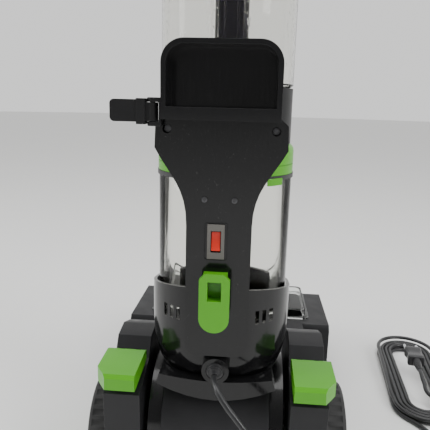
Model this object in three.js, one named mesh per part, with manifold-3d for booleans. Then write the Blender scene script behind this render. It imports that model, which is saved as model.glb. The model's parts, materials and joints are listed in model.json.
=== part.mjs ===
// Upright carpet cleaner: a wheeled base with a brush roll, and a tilting upright that carries
// a clean water tank above a dirty water tank.
// Millimetres, +Z up, +Y towards the nozzle, +X to the right of a person who stands behind it.
// Inside this file Y is measured from the tilt axis; the last lines move the origin to the
// middle of the footprint.
import * as THREE from "three";
import { mergeVertices } from "three/addons/utils/BufferGeometryUtils.js";
import Module from "manifold-3d";

const wasm = await Module();
wasm.setup();

// ---------------------------------------------------------------- driving sizes
const GAP = 0.3; // between faces that touch
const SLIDE = 0.6; // around a piece that comes off
const SHELL = 3; // wall of the opaque housings
const CLEAR_WALL = 2.5; // wall of the clear tanks

const TANK_HALF = 70; // half the width of the lower tank
const UPPER_HALF = 66.8; // half the width of the upper tank, flush with the housing that holds it
const TANK_REAR = -57.5;
const TANK_FRONT = 68;
const TANK_CORNER = 56;

const PIVOT_Z = 78; // height of the tilt axis
const DRUM_R = 70; // round housing that turns between the arms
const TRUNNION_R = 14;

const ARM_ROOM = 3.9; // between each arm and the widest part of the lower body
const ARM_WIDTH = 38.5;
const ARM_REAR = -78;
const ARM_FRONT = 96;
const ARM_RISE = 100; // crest of each arm, above the tilt axis

const WHEEL_R = 57;
const WHEEL_WIDTH = 26;
const WHEEL_GAP = 1.5;
const DOME = 3.5; // how far the hub cap swells out of the tyre
const AXLE_R = 5;

const HOOD_HALF = 157.5; // half the width of the nozzle hood
const HOOD_REAR = 200;
const HOOD_FRONT = 348;
const HOOD_TOP = 97;
const FLOOR_GAP = 12; // underside of the chassis
const NOSE = 378; // front lip of the nozzle

const BRUSH_Y = 275;
const BRUSH_Z = 29.5;
const BRUSH_R = 28;
const BRUSH_CORE_R = 14;
const BRUSH_HALF = 122;

const FLOOR_RISE = 90; // floor that the dirty tank stands on, above the tilt axis
const RIM_REAR = 88; // rim of the lower body above that floor, at its rear and at its front
const RIM_FRONT = 60;
const DIRTY_HEIGHT = 198;
const LID_HEIGHT = 29;
const CUP_HEIGHT = 46; // how far the upper housing holds the clean tank
const CLEAN_HEIGHT = 246;
const CLEAN_LID = 18;

const SPINE_HALF = 31; // half the width of the rear spine
const SPINE_REAR = -78;
const SPINE_FRONT = -61;
const SHOULDER_HALF = 61;

const BIN_HALF = 52.5; // rear storage bin
const BIN_HEIGHT = 68;
const BIN_REAR = -94;
const BIN_CORNER = 20;
const BIN_SILL = 11;

const STEM_HALF = 18.5; // handle stem, a flat oval tube
const STEM_DEPTH = 28;
const STEM_REAR = 38;
const STEM_TOP = 905;
const GRIP_TOP = 1085;

// ---------------------------------------------------------------- sizes that follow
const BODY_HALF = TANK_HALF + SLIDE + SHELL; // outside of what holds the tanks
const ARM_IN = BODY_HALF + ARM_ROOM; // inner face of each arm, from the middle
const ARM_OUT = ARM_IN + ARM_WIDTH;
const ARM_CREST = PIVOT_Z + ARM_RISE;
const DRUM_HALF = ARM_IN - 5.5;
const WHEEL_IN = ARM_OUT + WHEEL_GAP;
const WHEEL_OUT = WHEEL_IN + WHEEL_WIDTH;
const FLOOR_Z = PIVOT_Z + FLOOR_RISE;
const RIM_REAR_Z = FLOOR_Z + RIM_REAR;
const RIM_FRONT_Z = FLOOR_Z + RIM_FRONT;
const SPINE_FOOT_Z = FLOOR_Z + 20;
const DIRTY_TOP = FLOOR_Z + DIRTY_HEIGHT;
const LID_TOP = DIRTY_TOP + LID_HEIGHT;
const CUP_FLOOR_Z = LID_TOP + 9; // underside of the upper housing's floor
const CLEAN_Z = CUP_FLOOR_Z + 4 + SLIDE;
const CUP_TOP = CUP_FLOOR_Z + CUP_HEIGHT;
const CLEAN_TOP = CLEAN_Z + CLEAN_HEIGHT;
const SHOULDER_Z = CUP_FLOOR_Z - 10; // widest point of the spine's shoulders
const BIN_Z = CUP_FLOOR_Z + 16;
const CHANNEL_HALF = STEM_HALF + 3.5;
const CHANNEL_REAR = STEM_REAR - 4;


// ---------------------------------------------------------------- geometry helpers
function solid(geometry) {
  const bare = geometry.index ? geometry.toNonIndexed() : geometry.clone();
  bare.deleteAttribute("normal");
  bare.deleteAttribute("uv");
  const merged = mergeVertices(bare, 1e-4);
  return new wasm.Manifold(
    new wasm.Mesh({
      numProp: 3,
      vertProperties: merged.attributes.position.array,
      triVerts: new Uint32Array(merged.index.array),
    }),
  );
}

function geometryOf(manifold) {
  const mesh = manifold.getMesh();
  const geometry = new THREE.BufferGeometry();
  geometry.setAttribute("position", new THREE.BufferAttribute(mesh.vertProperties, 3));
  geometry.setIndex(new THREE.BufferAttribute(mesh.triVerts, 1));
  const flat = geometry.toNonIndexed();
  flat.computeVertexNormals();
  return flat;
}

const joined = (...geometries) =>
  geometryOf(geometries.map(solid).reduce((whole, next) => whole.add(next)));

const cut = (geometry, ...tools) =>
  geometryOf(tools.map(solid).reduce((whole, tool) => whole.subtract(tool), solid(geometry)));

const common = (a, b) => geometryOf(solid(a).intersect(solid(b)));

function box(x0, x1, y0, y1, z0, z1) {
  const geometry = new THREE.BoxGeometry(x1 - x0, y1 - y0, z1 - z0);
  return geometry.translate((x0 + x1) / 2, (y0 + y1) / 2, (z0 + z1) / 2);
}

// A cylinder along X from x0 to x1 on the line through (y, z).
function rodX(r, x0, x1, y = 0, z = 0, sides = 28) {
  const geometry = new THREE.CylinderGeometry(r, r, x1 - x0, sides);
  return geometry.rotateZ(-Math.PI / 2).translate((x0 + x1) / 2, y, z);
}

function rodY(r, y0, y1, x = 0, z = 0, sides = 20) {
  const geometry = new THREE.CylinderGeometry(r, r, y1 - y0, sides);
  return geometry.translate(x, (y0 + y1) / 2, z);
}

function rodZ(r, z0, z1, x = 0, y = 0, sides = 24) {
  const geometry = new THREE.CylinderGeometry(r, r, z1 - z0, sides);
  return geometry.rotateX(Math.PI / 2).translate(x, y, (z0 + z1) / 2);
}

// A shape given in (y, z), extruded along X.
function slabX(shape, x0, x1) {
  const options = { depth: x1 - x0, bevelEnabled: false, curveSegments: 8 };
  const geometry = new THREE.ExtrudeGeometry(shape, options);
  return geometry.rotateY(Math.PI / 2).rotateX(Math.PI / 2).translate(x0, 0, 0);
}

// A shape given in (x, z), extruded along Y.
function slabY(shape, y0, y1) {
  const options = { depth: y1 - y0, bevelEnabled: false, curveSegments: 8 };
  return new THREE.ExtrudeGeometry(shape, options).rotateX(Math.PI / 2).translate(0, y1, 0);
}

// A shape given in (x, y), extruded along Z.
function slabZ(shape, z0, z1) {
  const options = { depth: z1 - z0, bevelEnabled: false, curveSegments: 6 };
  return new THREE.ExtrudeGeometry(shape, options).translate(0, 0, z0);
}

function roundedShape(x0, x1, y0, y1, r) {
  const shape = new THREE.Shape();
  shape.moveTo(x0 + r, y0);
  shape.lineTo(x1 - r, y0);
  shape.absarc(x1 - r, y0 + r, r, -Math.PI / 2, 0);
  shape.lineTo(x1, y1 - r);
  shape.absarc(x1 - r, y1 - r, r, 0, Math.PI / 2);
  shape.lineTo(x0 + r, y1);
  shape.absarc(x0 + r, y1 - r, r, Math.PI / 2, Math.PI);
  shape.lineTo(x0, y0 + r);
  shape.absarc(x0 + r, y0 + r, r, Math.PI, 1.5 * Math.PI);
  return shape;
}

const polygon = (points) => new THREE.Shape(points.map(([a, b]) => new THREE.Vector2(a, b)));

// A closed polygon moved inwards by t, edge by edge. Its points run anticlockwise.
function inset(points, t) {
  return points.map((p, i) => {
    const before = points[(i + points.length - 1) % points.length];
    const after = points[(i + 1) % points.length];
    const u = new THREE.Vector2(p[0] - before[0], p[1] - before[1]).normalize();
    const v = new THREE.Vector2(after[0] - p[0], after[1] - p[1]).normalize();
    const bisector = new THREE.Vector2(-u.y - v.y, u.x + v.x).normalize();
    const reach = t / Math.max(0.3, bisector.dot(new THREE.Vector2(-u.y, u.x)));
    return [p[0] + bisector.x * reach, p[1] + bisector.y * reach];
  });
}

// One closed outline per level, each a rounded rectangle, skinned into a closed body.
const CORNER_STEPS = 5;
function loft(levels) {
  const rings = levels.map(({ z, half, rear, front, r }) => {
    const corners = [
      [half - r, front - r, 0],
      [r - half, front - r, 1],
      [r - half, rear + r, 2],
      [half - r, rear + r, 3],
    ];
    return corners.flatMap(([x, y, quarter]) =>
      Array.from({ length: CORNER_STEPS + 1 }, (_, k) => {
        const a = ((quarter + k / CORNER_STEPS) * Math.PI) / 2;
        return [x + r * Math.cos(a), y + r * Math.sin(a), z];
      }),
    );
  });
  return skin(rings);
}

function skin(rings) {
  const n = rings[0].length;
  const last = rings.length - 1;
  const centre = (ring) => [0, 1, 2].map((i) => ring.reduce((s, p) => s + p[i], 0) / n);
  const vertices = [...rings.flat(), centre(rings[0]), centre(rings[last])];
  const low = rings.length * n;
  const faces = [];
  for (let j = 0; j < n; j++) {
    const k = (j + 1) % n;
    faces.push(low, k, j, low + 1, last * n + j, last * n + k);
    for (let i = 0; i < last; i++) {
      const [a, b, c, d] = [i * n + j, i * n + k, (i + 1) * n + k, (i + 1) * n + j];
      faces.push(a, b, c, a, c, d);
    }
  }
  const geometry = new THREE.BufferGeometry();
  geometry.setAttribute("position", new THREE.Float32BufferAttribute(vertices.flat(), 3));
  geometry.setIndex(faces);
  return geometry;
}

// The same levels moved in by t, and from z0 to z1.
function shrunk(levels, t, z0, z1, extra = {}) {
  const at = (z) => {
    const i = Math.max(1, levels.findIndex((l) => l.z >= z));
    const [a, b] = [levels[i - 1], levels[i]];
    const s = (z - a.z) / (b.z - a.z);
    const mix = (key) => a[key] + (b[key] - a[key]) * s;
    return { z, half: mix("half"), rear: mix("rear"), front: mix("front"), r: mix("r") };
  };
  const inside = levels.filter((l) => l.z > z0 && l.z < z1);
  return [at(z0), ...inside, at(Math.min(z1, levels.at(-1).z - 1e-3))].map((l, i, all) => ({
    z: i === all.length - 1 ? z1 : l.z,
    half: l.half - t,
    rear: l.rear + t,
    front: l.front - t,
    r: Math.max(2, l.r - t),
    ...extra,
  }));
}

// ---------------------------------------------------------------- materials
const paint = (color, roughness, metalness = 0) =>
  new THREE.MeshStandardMaterial({ color, roughness, metalness });
const GLOSS_BLACK = paint(0x101012, 0.16);
const SATIN_BLACK = paint(0x1c1c1e, 0.42);
const DARK_GREY = paint(0x2b2b2d, 0.5);
const GREEN = paint(0x4fae12, 0.38);
const TYRE = paint(0x161616, 0.8);
const STEEL = paint(0xb8babd, 0.3, 1);
const VIOLET = paint(0x2a2740, 0.12);
const RED = paint(0xc8281c, 0.25);
const SWITCH_GREY = paint(0x6d6c68, 0.45);
const COPPER = paint(0x7b4a2c, 0.4, 0.8);
const CORD_BLACK = paint(0x121214, 0.4);
const CLEAR = new THREE.MeshStandardMaterial({
  color: 0xe6e8e4,
  roughness: 0.08,
  transparent: true,
  opacity: 0.3,
});

const machine = new THREE.Group();
function add(name, geometry, material, parent = machine) {
  const mesh = new THREE.Mesh(geometry, material);
  mesh.name = name;
  parent.add(mesh);
  return mesh;
}

const SIDES = [
  ["left", -1],
  ["right", 1],
];
// A geometry made for the right side, mirrored for the left one.
function onSide(geometry, sign) {
  if (sign > 0) return geometry;
  return geometryOf(solid(geometry).mirror([1, 0, 0]));
}

// ---------------------------------------------------------------- base
const ARM_FOOT_Z = 16;
const BUSH_DEPTH = 9;
const AXLE_START = ARM_IN + BUSH_DEPTH + 3;
const PEDAL_SHELF_Z = ARM_CREST - 40; // rear of the slope under each pedal
const armOutline = [
  [ARM_REAR + 4, ARM_FOOT_Z],
  [72, ARM_FOOT_Z],
  [ARM_FRONT, 30],
  [ARM_FRONT, ARM_CREST - 82],
  [70, ARM_CREST - 36],
  [38, ARM_CREST - 10],
  [8, ARM_CREST],
  [-16, ARM_CREST - 4],
  [-30, ARM_CREST - 24],
  [ARM_REAR, PEDAL_SHELF_Z],
];

function arm() {
  const outside = slabX(polygon(armOutline), ARM_IN, ARM_OUT);
  const hollow = slabX(polygon(inset(armOutline, SHELL)), ARM_IN + SHELL, ARM_OUT - SHELL);
  const underside = box(ARM_IN + SHELL, ARM_OUT - SHELL, -60, 60, ARM_FOOT_Z - 1, ARM_FOOT_Z + 8);
  const shoulder = box(ARM_OUT - 16, ARM_OUT + 16, -120, 120, -16, 16)
    .rotateY(-Math.PI / 4)
    .translate(8, 0, ARM_CREST + 8);
  const pivotHole = rodX(TRUNNION_R + 4 + GAP, ARM_IN - 1, ARM_IN + SHELL + 1, 0, PIVOT_Z);
  const boss = rodX(AXLE_R + 4, AXLE_START - 1.5, ARM_OUT, 0, WHEEL_R, 16);
  const axleHole = rodX(AXLE_R + GAP, AXLE_START - GAP, ARM_OUT + 1, 0, WHEEL_R, 16);
  const lugs = LUGS.flatMap((x) => [
    rodX(LUG_R, x - LUG_HALF, x + LUG_HALF, PEDAL_HINGE_Y, PEDAL_HINGE_Z, 16),
    box(x - LUG_HALF, x + LUG_HALF, PEDAL_HINGE_Y - 4, PEDAL_HINGE_Y + LUG_R,
      PEDAL_SHELF_Z + 11, PEDAL_HINGE_Z),
  ]);
  const pinHole = rodX(PIN_R + GAP, ARM_IN, ARM_OUT, PEDAL_HINGE_Y, PEDAL_HINGE_Z, 14);
  const shell = cut(outside, hollow, underside, shoulder);
  return cut(joined(shell, boss, ...lugs), pivotHole, axleHole, pinHole);
}

const WHEEL_SIDES = 32;
function tyre() {
  const profile = [
    [WHEEL_R - 12, WHEEL_IN + 3],
    [WHEEL_R - 4, WHEEL_IN],
    [WHEEL_R, WHEEL_IN + 4],
    [WHEEL_R, WHEEL_OUT - 6],
    [WHEEL_R - 5, WHEEL_OUT],
    [WHEEL_R - 12, WHEEL_OUT - 3],
    [WHEEL_R - 12, WHEEL_IN + 3],
  ];
  return ring(profile, WHEEL_SIDES);
}

function wheel() {
  const rim = WHEEL_R - 12 - GAP;
  const bore = AXLE_R + GAP;
  const profile = [
    [bore, WHEEL_IN],
    [rim, WHEEL_IN + 3],
    [rim, WHEEL_OUT - 3],
    [rim - 8, WHEEL_OUT + DOME * 0.5],
    [rim * 0.45, WHEEL_OUT + DOME],
    [bore, WHEEL_OUT + DOME],
    [bore, WHEEL_IN],
  ];
  return ring(profile, WHEEL_SIDES);
}

// A closed profile of [radius, x] turned about the X axis.
function ring(profile, sides) {
  const points = profile.map(([r, x]) => new THREE.Vector2(r, x));
  return new THREE.LatheGeometry(points, sides).rotateZ(-Math.PI / 2);
}

const PEDAL_IN = ARM_IN + 1.2;
const PEDAL_WIDTH = 42;
const PEDAL_TOP = ARM_CREST - 8;
const PEDAL_HINGE_Y = -42;
const PEDAL_HINGE_Z = PEDAL_TOP - 7;
const PEDAL_REAR = ARM_REAR - 17;
const PIN_R = 2.5;
const LUGS = [PEDAL_IN + 9, PEDAL_IN + 27]; // middle of each hinge lug
const LUG_HALF = 2.5;
const LUG_R = 5.5;
const PIN_END = ARM_IN + ARM_WIDTH - 4;

function pedal() {
  const side = [
    [PEDAL_HINGE_Y - 3, PEDAL_TOP - 14],
    [PEDAL_HINGE_Y + 5, PEDAL_TOP - 12],
    [PEDAL_HINGE_Y + 5, PEDAL_TOP - 2],
    [PEDAL_HINGE_Y, PEDAL_TOP],
    [PEDAL_REAR + 3, PEDAL_TOP - 1],
    [PEDAL_REAR, PEDAL_TOP - 5],
    [PEDAL_REAR + 1, PEDAL_TOP - 18],
    [PEDAL_REAR + 8, PEDAL_TOP - 18],
  ].reverse();
  const plate = slabX(polygon(side), PEDAL_IN, PEDAL_IN + PEDAL_WIDTH);
  const chamfer = box(0, 40, -40, 0, 0, 60)
    .rotateZ(THREE.MathUtils.degToRad(55))
    .translate(PEDAL_IN + PEDAL_WIDTH - 12, PEDAL_REAR - 0.5, PEDAL_TOP - 40);
  const bore = rodX(PIN_R + GAP, PEDAL_IN - 1, PIN_END + 2, PEDAL_HINGE_Y, PEDAL_HINGE_Z, 14);
  const slots = LUGS.map((x) =>
    box(x - LUG_HALF - 0.5, x + LUG_HALF + 0.5, PEDAL_HINGE_Y - LUG_R - 2, PEDAL_HINGE_Y + LUG_R + 2,
      PEDAL_TOP - 30, PEDAL_HINGE_Z + LUG_R + 0.3));
  return cut(plate, chamfer, bore, ...slots);
}

const DUCT_R = 12;
const DUCT_Z = 62;
const DECK_REAR = ARM_FRONT + GAP;
const TRAY_TOP = 21.5;
const TRAY_HALF = ARM_OUT - 4;
const deckOutline = [
  [DECK_REAR, TRAY_TOP + GAP],
  [HOOD_REAR + 10, TRAY_TOP + GAP],
  [HOOD_REAR + 10, HOOD_TOP],
  [DECK_REAR + 22, HOOD_TOP],
  [DECK_REAR, HOOD_TOP - 3],
];
const hoodOutline = [
  [HOOD_REAR, FLOOR_GAP + 2],
  [HOOD_FRONT, FLOOR_GAP + 2],
  [HOOD_FRONT, HOOD_TOP - 14],
  [HOOD_FRONT - 10, HOOD_TOP - 1],
  [HOOD_REAR + 6, HOOD_TOP],
  [HOOD_REAR, HOOD_TOP - 8],
];
const WINDOW_HALF = 124;
const WINDOW_REAR = HOOD_REAR + 26;
const WINDOW_FRONT = HOOD_FRONT - 16;
const WINDOW_RISE = 15;

function hood() {
  const outside = joined(
    slabX(polygon(hoodOutline), -HOOD_HALF, HOOD_HALF),
    slabX(polygon(deckOutline), -ARM_OUT, ARM_OUT),
  );
  const inside = joined(
    slabX(polygon(inset(hoodOutline, SHELL)), SHELL - HOOD_HALF, HOOD_HALF - SHELL),
    box(SHELL - ARM_OUT, ARM_OUT - SHELL, DECK_REAR + SHELL, HOOD_REAR + 8, TRAY_TOP + SHELL, HOOD_TOP - 6),
    box(-TRAY_HALF - GAP, TRAY_HALF + GAP, HOOD_REAR - 1, HOOD_REAR + 4, 0, TRAY_TOP + GAP),
  );
  const mouth = box(SHELL - HOOD_HALF, HOOD_HALF - SHELL, HOOD_REAR + SHELL, HOOD_FRONT - SHELL, 0, 20);
  const window = box(-WINDOW_HALF, WINDOW_HALF, WINDOW_REAR, WINDOW_FRONT, HOOD_TOP - 9, HOOD_TOP + 9);
  const ductHole = rodY(DUCT_R - 2, DECK_REAR - 1, DECK_REAR + SHELL + 1, 0, DUCT_Z);
  return cut(outside, inside, mouth, window, ductHole);
}

function nozzleWindow() {
  const shape = (t) =>
    roundedShape(t - WINDOW_HALF - 4, WINDOW_HALF + 4 - t, WINDOW_REAR - 4 + t, WINDOW_FRONT + 4 - t, 9);
  const z0 = HOOD_TOP + GAP;
  const flange = slabZ(shape(0), z0, z0 + 2);
  const rise = slabZ(shape(6), z0, z0 + WINDOW_RISE);
  const inside = slabZ(shape(6 + CLEAR_WALL), z0 - 1, z0 + WINDOW_RISE - CLEAR_WALL);
  return cut(joined(flange, rise), inside);
}

function suctionNozzle() {
  const side = [
    [HOOD_FRONT + GAP, 8],
    [NOSE - 6, 2],
    [NOSE, 6],
    [NOSE - 4, 34],
    [HOOD_FRONT + 12, HOOD_TOP - 14],
    [HOOD_FRONT + GAP, HOOD_TOP - 10],
  ];
  const slot = [
    [HOOD_FRONT + 12, -2],
    [NOSE - 8, -2],
    [NOSE - 8, 32],
    [HOOD_FRONT + 12, HOOD_TOP - 24],
    [HOOD_FRONT + 4, HOOD_TOP - 22],
    [HOOD_FRONT + 6, 30],
  ];
  const half = HOOD_HALF - 12;
  return cut(slabX(polygon(side), -half, half), slabX(polygon(slot), 6 - half, half - 6));
}

function chassis() {
  const front = box(SHELL - HOOD_HALF + GAP, HOOD_HALF - SHELL - GAP, HOOD_REAR + SHELL + GAP,
    HOOD_FRONT - SHELL - GAP, FLOOR_GAP, FLOOR_GAP + 4);
  const mouth = box(-BRUSH_HALF - 4, BRUSH_HALF + 4, BRUSH_Y - 32, BRUSH_Y + 32, 0, 60);
  const beltSlot = box(BRUSH_HALF + 7, BRUSH_HALF + 24, BRUSH_Y - 100, BRUSH_Y + 30, 0, 60);
  const cheeks = SIDES.map(([, s]) => {
    const x = s * (BRUSH_HALF + 4);
    return box(x - 1.5, x + 1.5, BRUSH_Y - 30, BRUSH_Y + 30, FLOOR_GAP, 62);
  });
  const skids = SIDES.map(([, s]) =>
    box(s * 148 - 5, s * 148 + 5, HOOD_REAR + 20, HOOD_FRONT - 12, 0, FLOOR_GAP + 1));
  const tray = box(-TRAY_HALF, TRAY_HALF, DECK_REAR + 1, HOOD_REAR + SHELL + GAP + 1, FLOOR_GAP, TRAY_TOP);
  const runners = SIDES.flatMap(([, s]) => {
    const x = (s * (ARM_IN + ARM_OUT)) / 2;
    const half = ARM_WIDTH / 2;
    return [
      box(x - half + 1, x + half - 1, ARM_REAR + 8, DECK_REAR + 2, FLOOR_GAP, ARM_FOOT_Z - GAP),
      box(x - half + SHELL + GAP, x + half - SHELL - GAP, -59, 59, FLOOR_GAP + 1, TRAY_TOP),
    ];
  });
  const bores = rodX(8 + GAP, -BRUSH_HALF - 20, BRUSH_HALF + 20, BRUSH_Y, BRUSH_Z, 20);
  const cradle = cut(
    box(60, 108, MOTOR_Y - 10, MOTOR_Y + 9, FLOOR_GAP + 1, MOTOR_Z - 6),
    rodX(MOTOR_R + GAP, 50, 120, MOTOR_Y, MOTOR_Z, 24),
  );
  return cut(joined(cut(front, mouth, beltSlot), cradle, tray, ...cheeks, ...skids, ...runners), bores);
}

function bristles() {
  const rings = [];
  const stations = 10;
  const points = 24;
  for (let i = 0; i <= stations; i++) {
    const x = -BRUSH_HALF + 4 + ((2 * BRUSH_HALF - 8) * i) / stations;
    const twist = (i / stations) * Math.PI;
    rings.push(Array.from({ length: points }, (_, j) => {
      const r = j % 4 < 2 ? BRUSH_R : BRUSH_CORE_R + 3;
      const a = -(j / points) * 2 * Math.PI + twist;
      return [x, r * Math.cos(a), r * Math.sin(a)];
    }));
  }
  return cut(skin(rings.reverse()), rodX(BRUSH_CORE_R + GAP, -BRUSH_HALF, BRUSH_HALF, 0, 0, 20));
}

const MOTOR_R = 17;
const MOTOR_Y = HOOD_REAR + SHELL + MOTOR_R + 1;
const MOTOR_Z = 68;
const MOTOR_PULLEY_R = 9;
const BRUSH_PULLEY_R = 22;
const PULLEY_X = BRUSH_HALF + 10;
const PULLEY_WIDTH = 9;
const BELT = 1.8;

// The outline round two pulleys, in (y, z), with the wraps as arcs.
function beltOutline(extra) {
  const dy = BRUSH_Y - MOTOR_Y;
  const dz = BRUSH_Z - MOTOR_Z;
  const tilt = Math.atan2(dz, dy);
  const spread = Math.acos((BRUSH_PULLEY_R - MOTOR_PULLEY_R) / Math.hypot(dy, dz));
  const wrap = Math.PI - spread;
  const shape = new THREE.Shape();
  shape.absarc(BRUSH_Y, BRUSH_Z, BRUSH_PULLEY_R + extra, tilt - wrap, tilt + wrap);
  shape.absarc(MOTOR_Y, MOTOR_Z, MOTOR_PULLEY_R + extra, tilt + wrap, tilt + 2 * Math.PI - wrap);
  return shape;
}

add("chassis", chassis(), SATIN_BLACK);
add("hood", hood(), DARK_GREY);
add("nozzle_window", nozzleWindow(), CLEAR);
add("suction_nozzle", suctionNozzle(), SATIN_BLACK);

const ductPath = new THREE.CatmullRomCurve3([
  new THREE.Vector3(0, HOOD_FRONT - SHELL - GAP, 68),
  new THREE.Vector3(0, BRUSH_Y, 76),
  new THREE.Vector3(0, HOOD_REAR, 72),
  new THREE.Vector3(0, DECK_REAR + SHELL - 10, DUCT_Z),
]);
add("recovery_duct", cut(
  new THREE.ExtrudeGeometry(new THREE.Shape().absarc(0, 0, DUCT_R, 0, 2 * Math.PI),
    { steps: 8, curveSegments: 6, extrudePath: ductPath }),
  new THREE.ExtrudeGeometry(new THREE.Shape().absarc(0, 0, DUCT_R - 2, 0, 2 * Math.PI),
    { steps: 8, curveSegments: 6, extrudePath: ductPath }).translate(0, 0.4, 0),
  box(-20, 20, 60, DECK_REAR + SHELL + GAP, 30, 90),
  box(-20, 20, HOOD_FRONT - SHELL - 3, HOOD_FRONT, 30, 90),
), SATIN_BLACK);

for (const [side, s] of SIDES) {
  add(`arm_${side}`, onSide(arm(), s), DARK_GREY);
  add(`tyre_${side}`, onSide(tyre(), s), TYRE).position.z = WHEEL_R;
  add(`wheel_${side}`, onSide(wheel(), s), GREEN).position.z = WHEEL_R;
  const axle = rodX(AXLE_R, AXLE_START, WHEEL_OUT + DOME - 1, 0, WHEEL_R, 16);
  add(`axle_${side}`, onSide(axle, s), STEEL);
  const bush = ring([
    [TRUNNION_R + GAP, ARM_IN],
    [TRUNNION_R + 4, ARM_IN],
    [TRUNNION_R + 4, ARM_IN + BUSH_DEPTH],
    [TRUNNION_R + GAP, ARM_IN + BUSH_DEPTH],
    [TRUNNION_R + GAP, ARM_IN],
  ], 24);
  add(`pivot_bush_${side}`, onSide(bush, s), SWITCH_GREY).position.z = PIVOT_Z;
  const pedalName = s < 0 ? "tilt_pedal" : "brush_pedal";
  add(pedalName, onSide(pedal(), s), GREEN);
  const pin = rodX(PIN_R, PEDAL_IN + 1, PIN_END, PEDAL_HINGE_Y, PEDAL_HINGE_Z, 14);
  add(`${pedalName}_pin`, onSide(pin, s), STEEL);
}

const brush = new THREE.Group();
brush.position.set(0, BRUSH_Y, BRUSH_Z);
machine.add(brush);
add("brush_core", joined(
  rodX(BRUSH_CORE_R, -BRUSH_HALF, BRUSH_HALF, 0, 0, 20),
  rodX(8, -BRUSH_HALF - 8, PULLEY_X - GAP, 0, 0, 20),
  rodX(3 - GAP, BRUSH_HALF, PULLEY_X + PULLEY_WIDTH, 0, 0, 12),
), SATIN_BLACK, brush);
add("brush_bristles", bristles(), GREEN, brush);
add("brush_pulley", cut(
  rodX(BRUSH_PULLEY_R, PULLEY_X, PULLEY_X + PULLEY_WIDTH, 0, 0, 28),
  rodX(3, PULLEY_X - 1, PULLEY_X + PULLEY_WIDTH + 1, 0, 0, 12),
), SWITCH_GREY, brush);
add("brush_motor", joined(
  rodX(MOTOR_R, 52, BRUSH_HALF - 2, MOTOR_Y, MOTOR_Z, 24),
  rodX(3, BRUSH_HALF - 3, PULLEY_X + PULLEY_WIDTH, MOTOR_Y, MOTOR_Z, 12),
), COPPER);
add("motor_pulley", ring([
  [3 + GAP, PULLEY_X],
  [MOTOR_PULLEY_R, PULLEY_X],
  [MOTOR_PULLEY_R, PULLEY_X + PULLEY_WIDTH],
  [3 + GAP, PULLEY_X + PULLEY_WIDTH],
  [3 + GAP, PULLEY_X],
], 20).translate(0, MOTOR_Y, MOTOR_Z), STEEL);
add("drive_belt", cut(
  slabX(beltOutline(GAP + BELT), PULLEY_X + 1, PULLEY_X + PULLEY_WIDTH - 1),
  slabX(beltOutline(GAP), PULLEY_X, PULLEY_X + PULLEY_WIDTH),
), TYRE);
add("spray_bar", joined(
  rodX(4, -90, 90, BRUSH_Y - 40, FLOOR_GAP + 12, 12),
  ...[-60, 0, 60].map((x) =>
    box(x - 4, x + 4, BRUSH_Y - 43, BRUSH_Y - 34, FLOOR_GAP + 4 + GAP, FLOOR_GAP + 13)),
), SATIN_BLACK);

// ---------------------------------------------------------------- upright: drum and lower body
const NECK_TOP = FLOOR_Z - 28;
const NECK_HALF = BODY_HALF - 15.6;
const lowerBody = [
  { z: NECK_TOP + GAP, half: NECK_HALF, rear: -50, front: 52, r: 30 },
  { z: FLOOR_Z - 16, half: BODY_HALF - 10.6, rear: -60, front: 62, r: 38 },
  { z: FLOOR_Z, half: BODY_HALF - 4.6, rear: -66, front: 68, r: 48 },
  { z: FLOOR_Z + 18, half: BODY_HALF - 0.8, rear: -69, front: 71, r: 55 },
  { z: FLOOR_Z + 35, half: BODY_HALF, rear: -70, front: 72, r: 58 },
  { z: RIM_REAR_Z + 4, half: BODY_HALF + 0.7, rear: -70, front: 72, r: 58 },
];
const BACK_WALL = -70; // outside of the lower body's rear wall

// The lower body's outside with a gap round it, to cut what lies against it.
const bodyWithGap = () => loft(lowerBody.map((l, i) => ({
  ...l, z: i ? l.z : l.z - 2 * GAP, half: l.half + GAP, rear: l.rear - GAP,
})));

function drumHousing() {
  const shell = joined(
    rodX(DRUM_R, -DRUM_HALF, DRUM_HALF, 0, PIVOT_Z, 48),
    box(-NECK_HALF, NECK_HALF, -44, 44, PIVOT_Z, NECK_TOP),
    rodX(TRUNNION_R, 1 - ARM_IN - BUSH_DEPTH, ARM_IN + BUSH_DEPTH - 1, 0, PIVOT_Z, 24),
  );
  const inside = rodX(DRUM_R - SHELL - 0.5, SHELL - DRUM_HALF, DRUM_HALF - SHELL, 0, PIVOT_Z, 48);
  const chimney = box(-52, 52, -38, 38, PIVOT_Z + 20, NECK_TOP - 4);
  const hatch = box(-50, 50, -DRUM_R - 5, -30, PIVOT_Z - 24, PIVOT_Z + 38);
  return cut(shell, inside, chimney, hatch);
}

const COVER_HALF = 57.5;
const COVER_RISE = 4.5;
function drumCover() {
  const [a0, a1] = [THREE.MathUtils.degToRad(180 - 50), THREE.MathUtils.degToRad(180 + 34)];
  const shape = new THREE.Shape();
  shape.absarc(0, PIVOT_Z, DRUM_R + GAP + COVER_RISE, a0, a1);
  shape.absarc(0, PIVOT_Z, DRUM_R + GAP, a1, a0, true);
  const options = { depth: 2 * COVER_HALF, bevelEnabled: false, curveSegments: 14 };
  const geometry = new THREE.ExtrudeGeometry(shape, options);
  return geometry.rotateY(Math.PI / 2).rotateX(Math.PI / 2).translate(-COVER_HALF, 0, 0);
}

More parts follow.
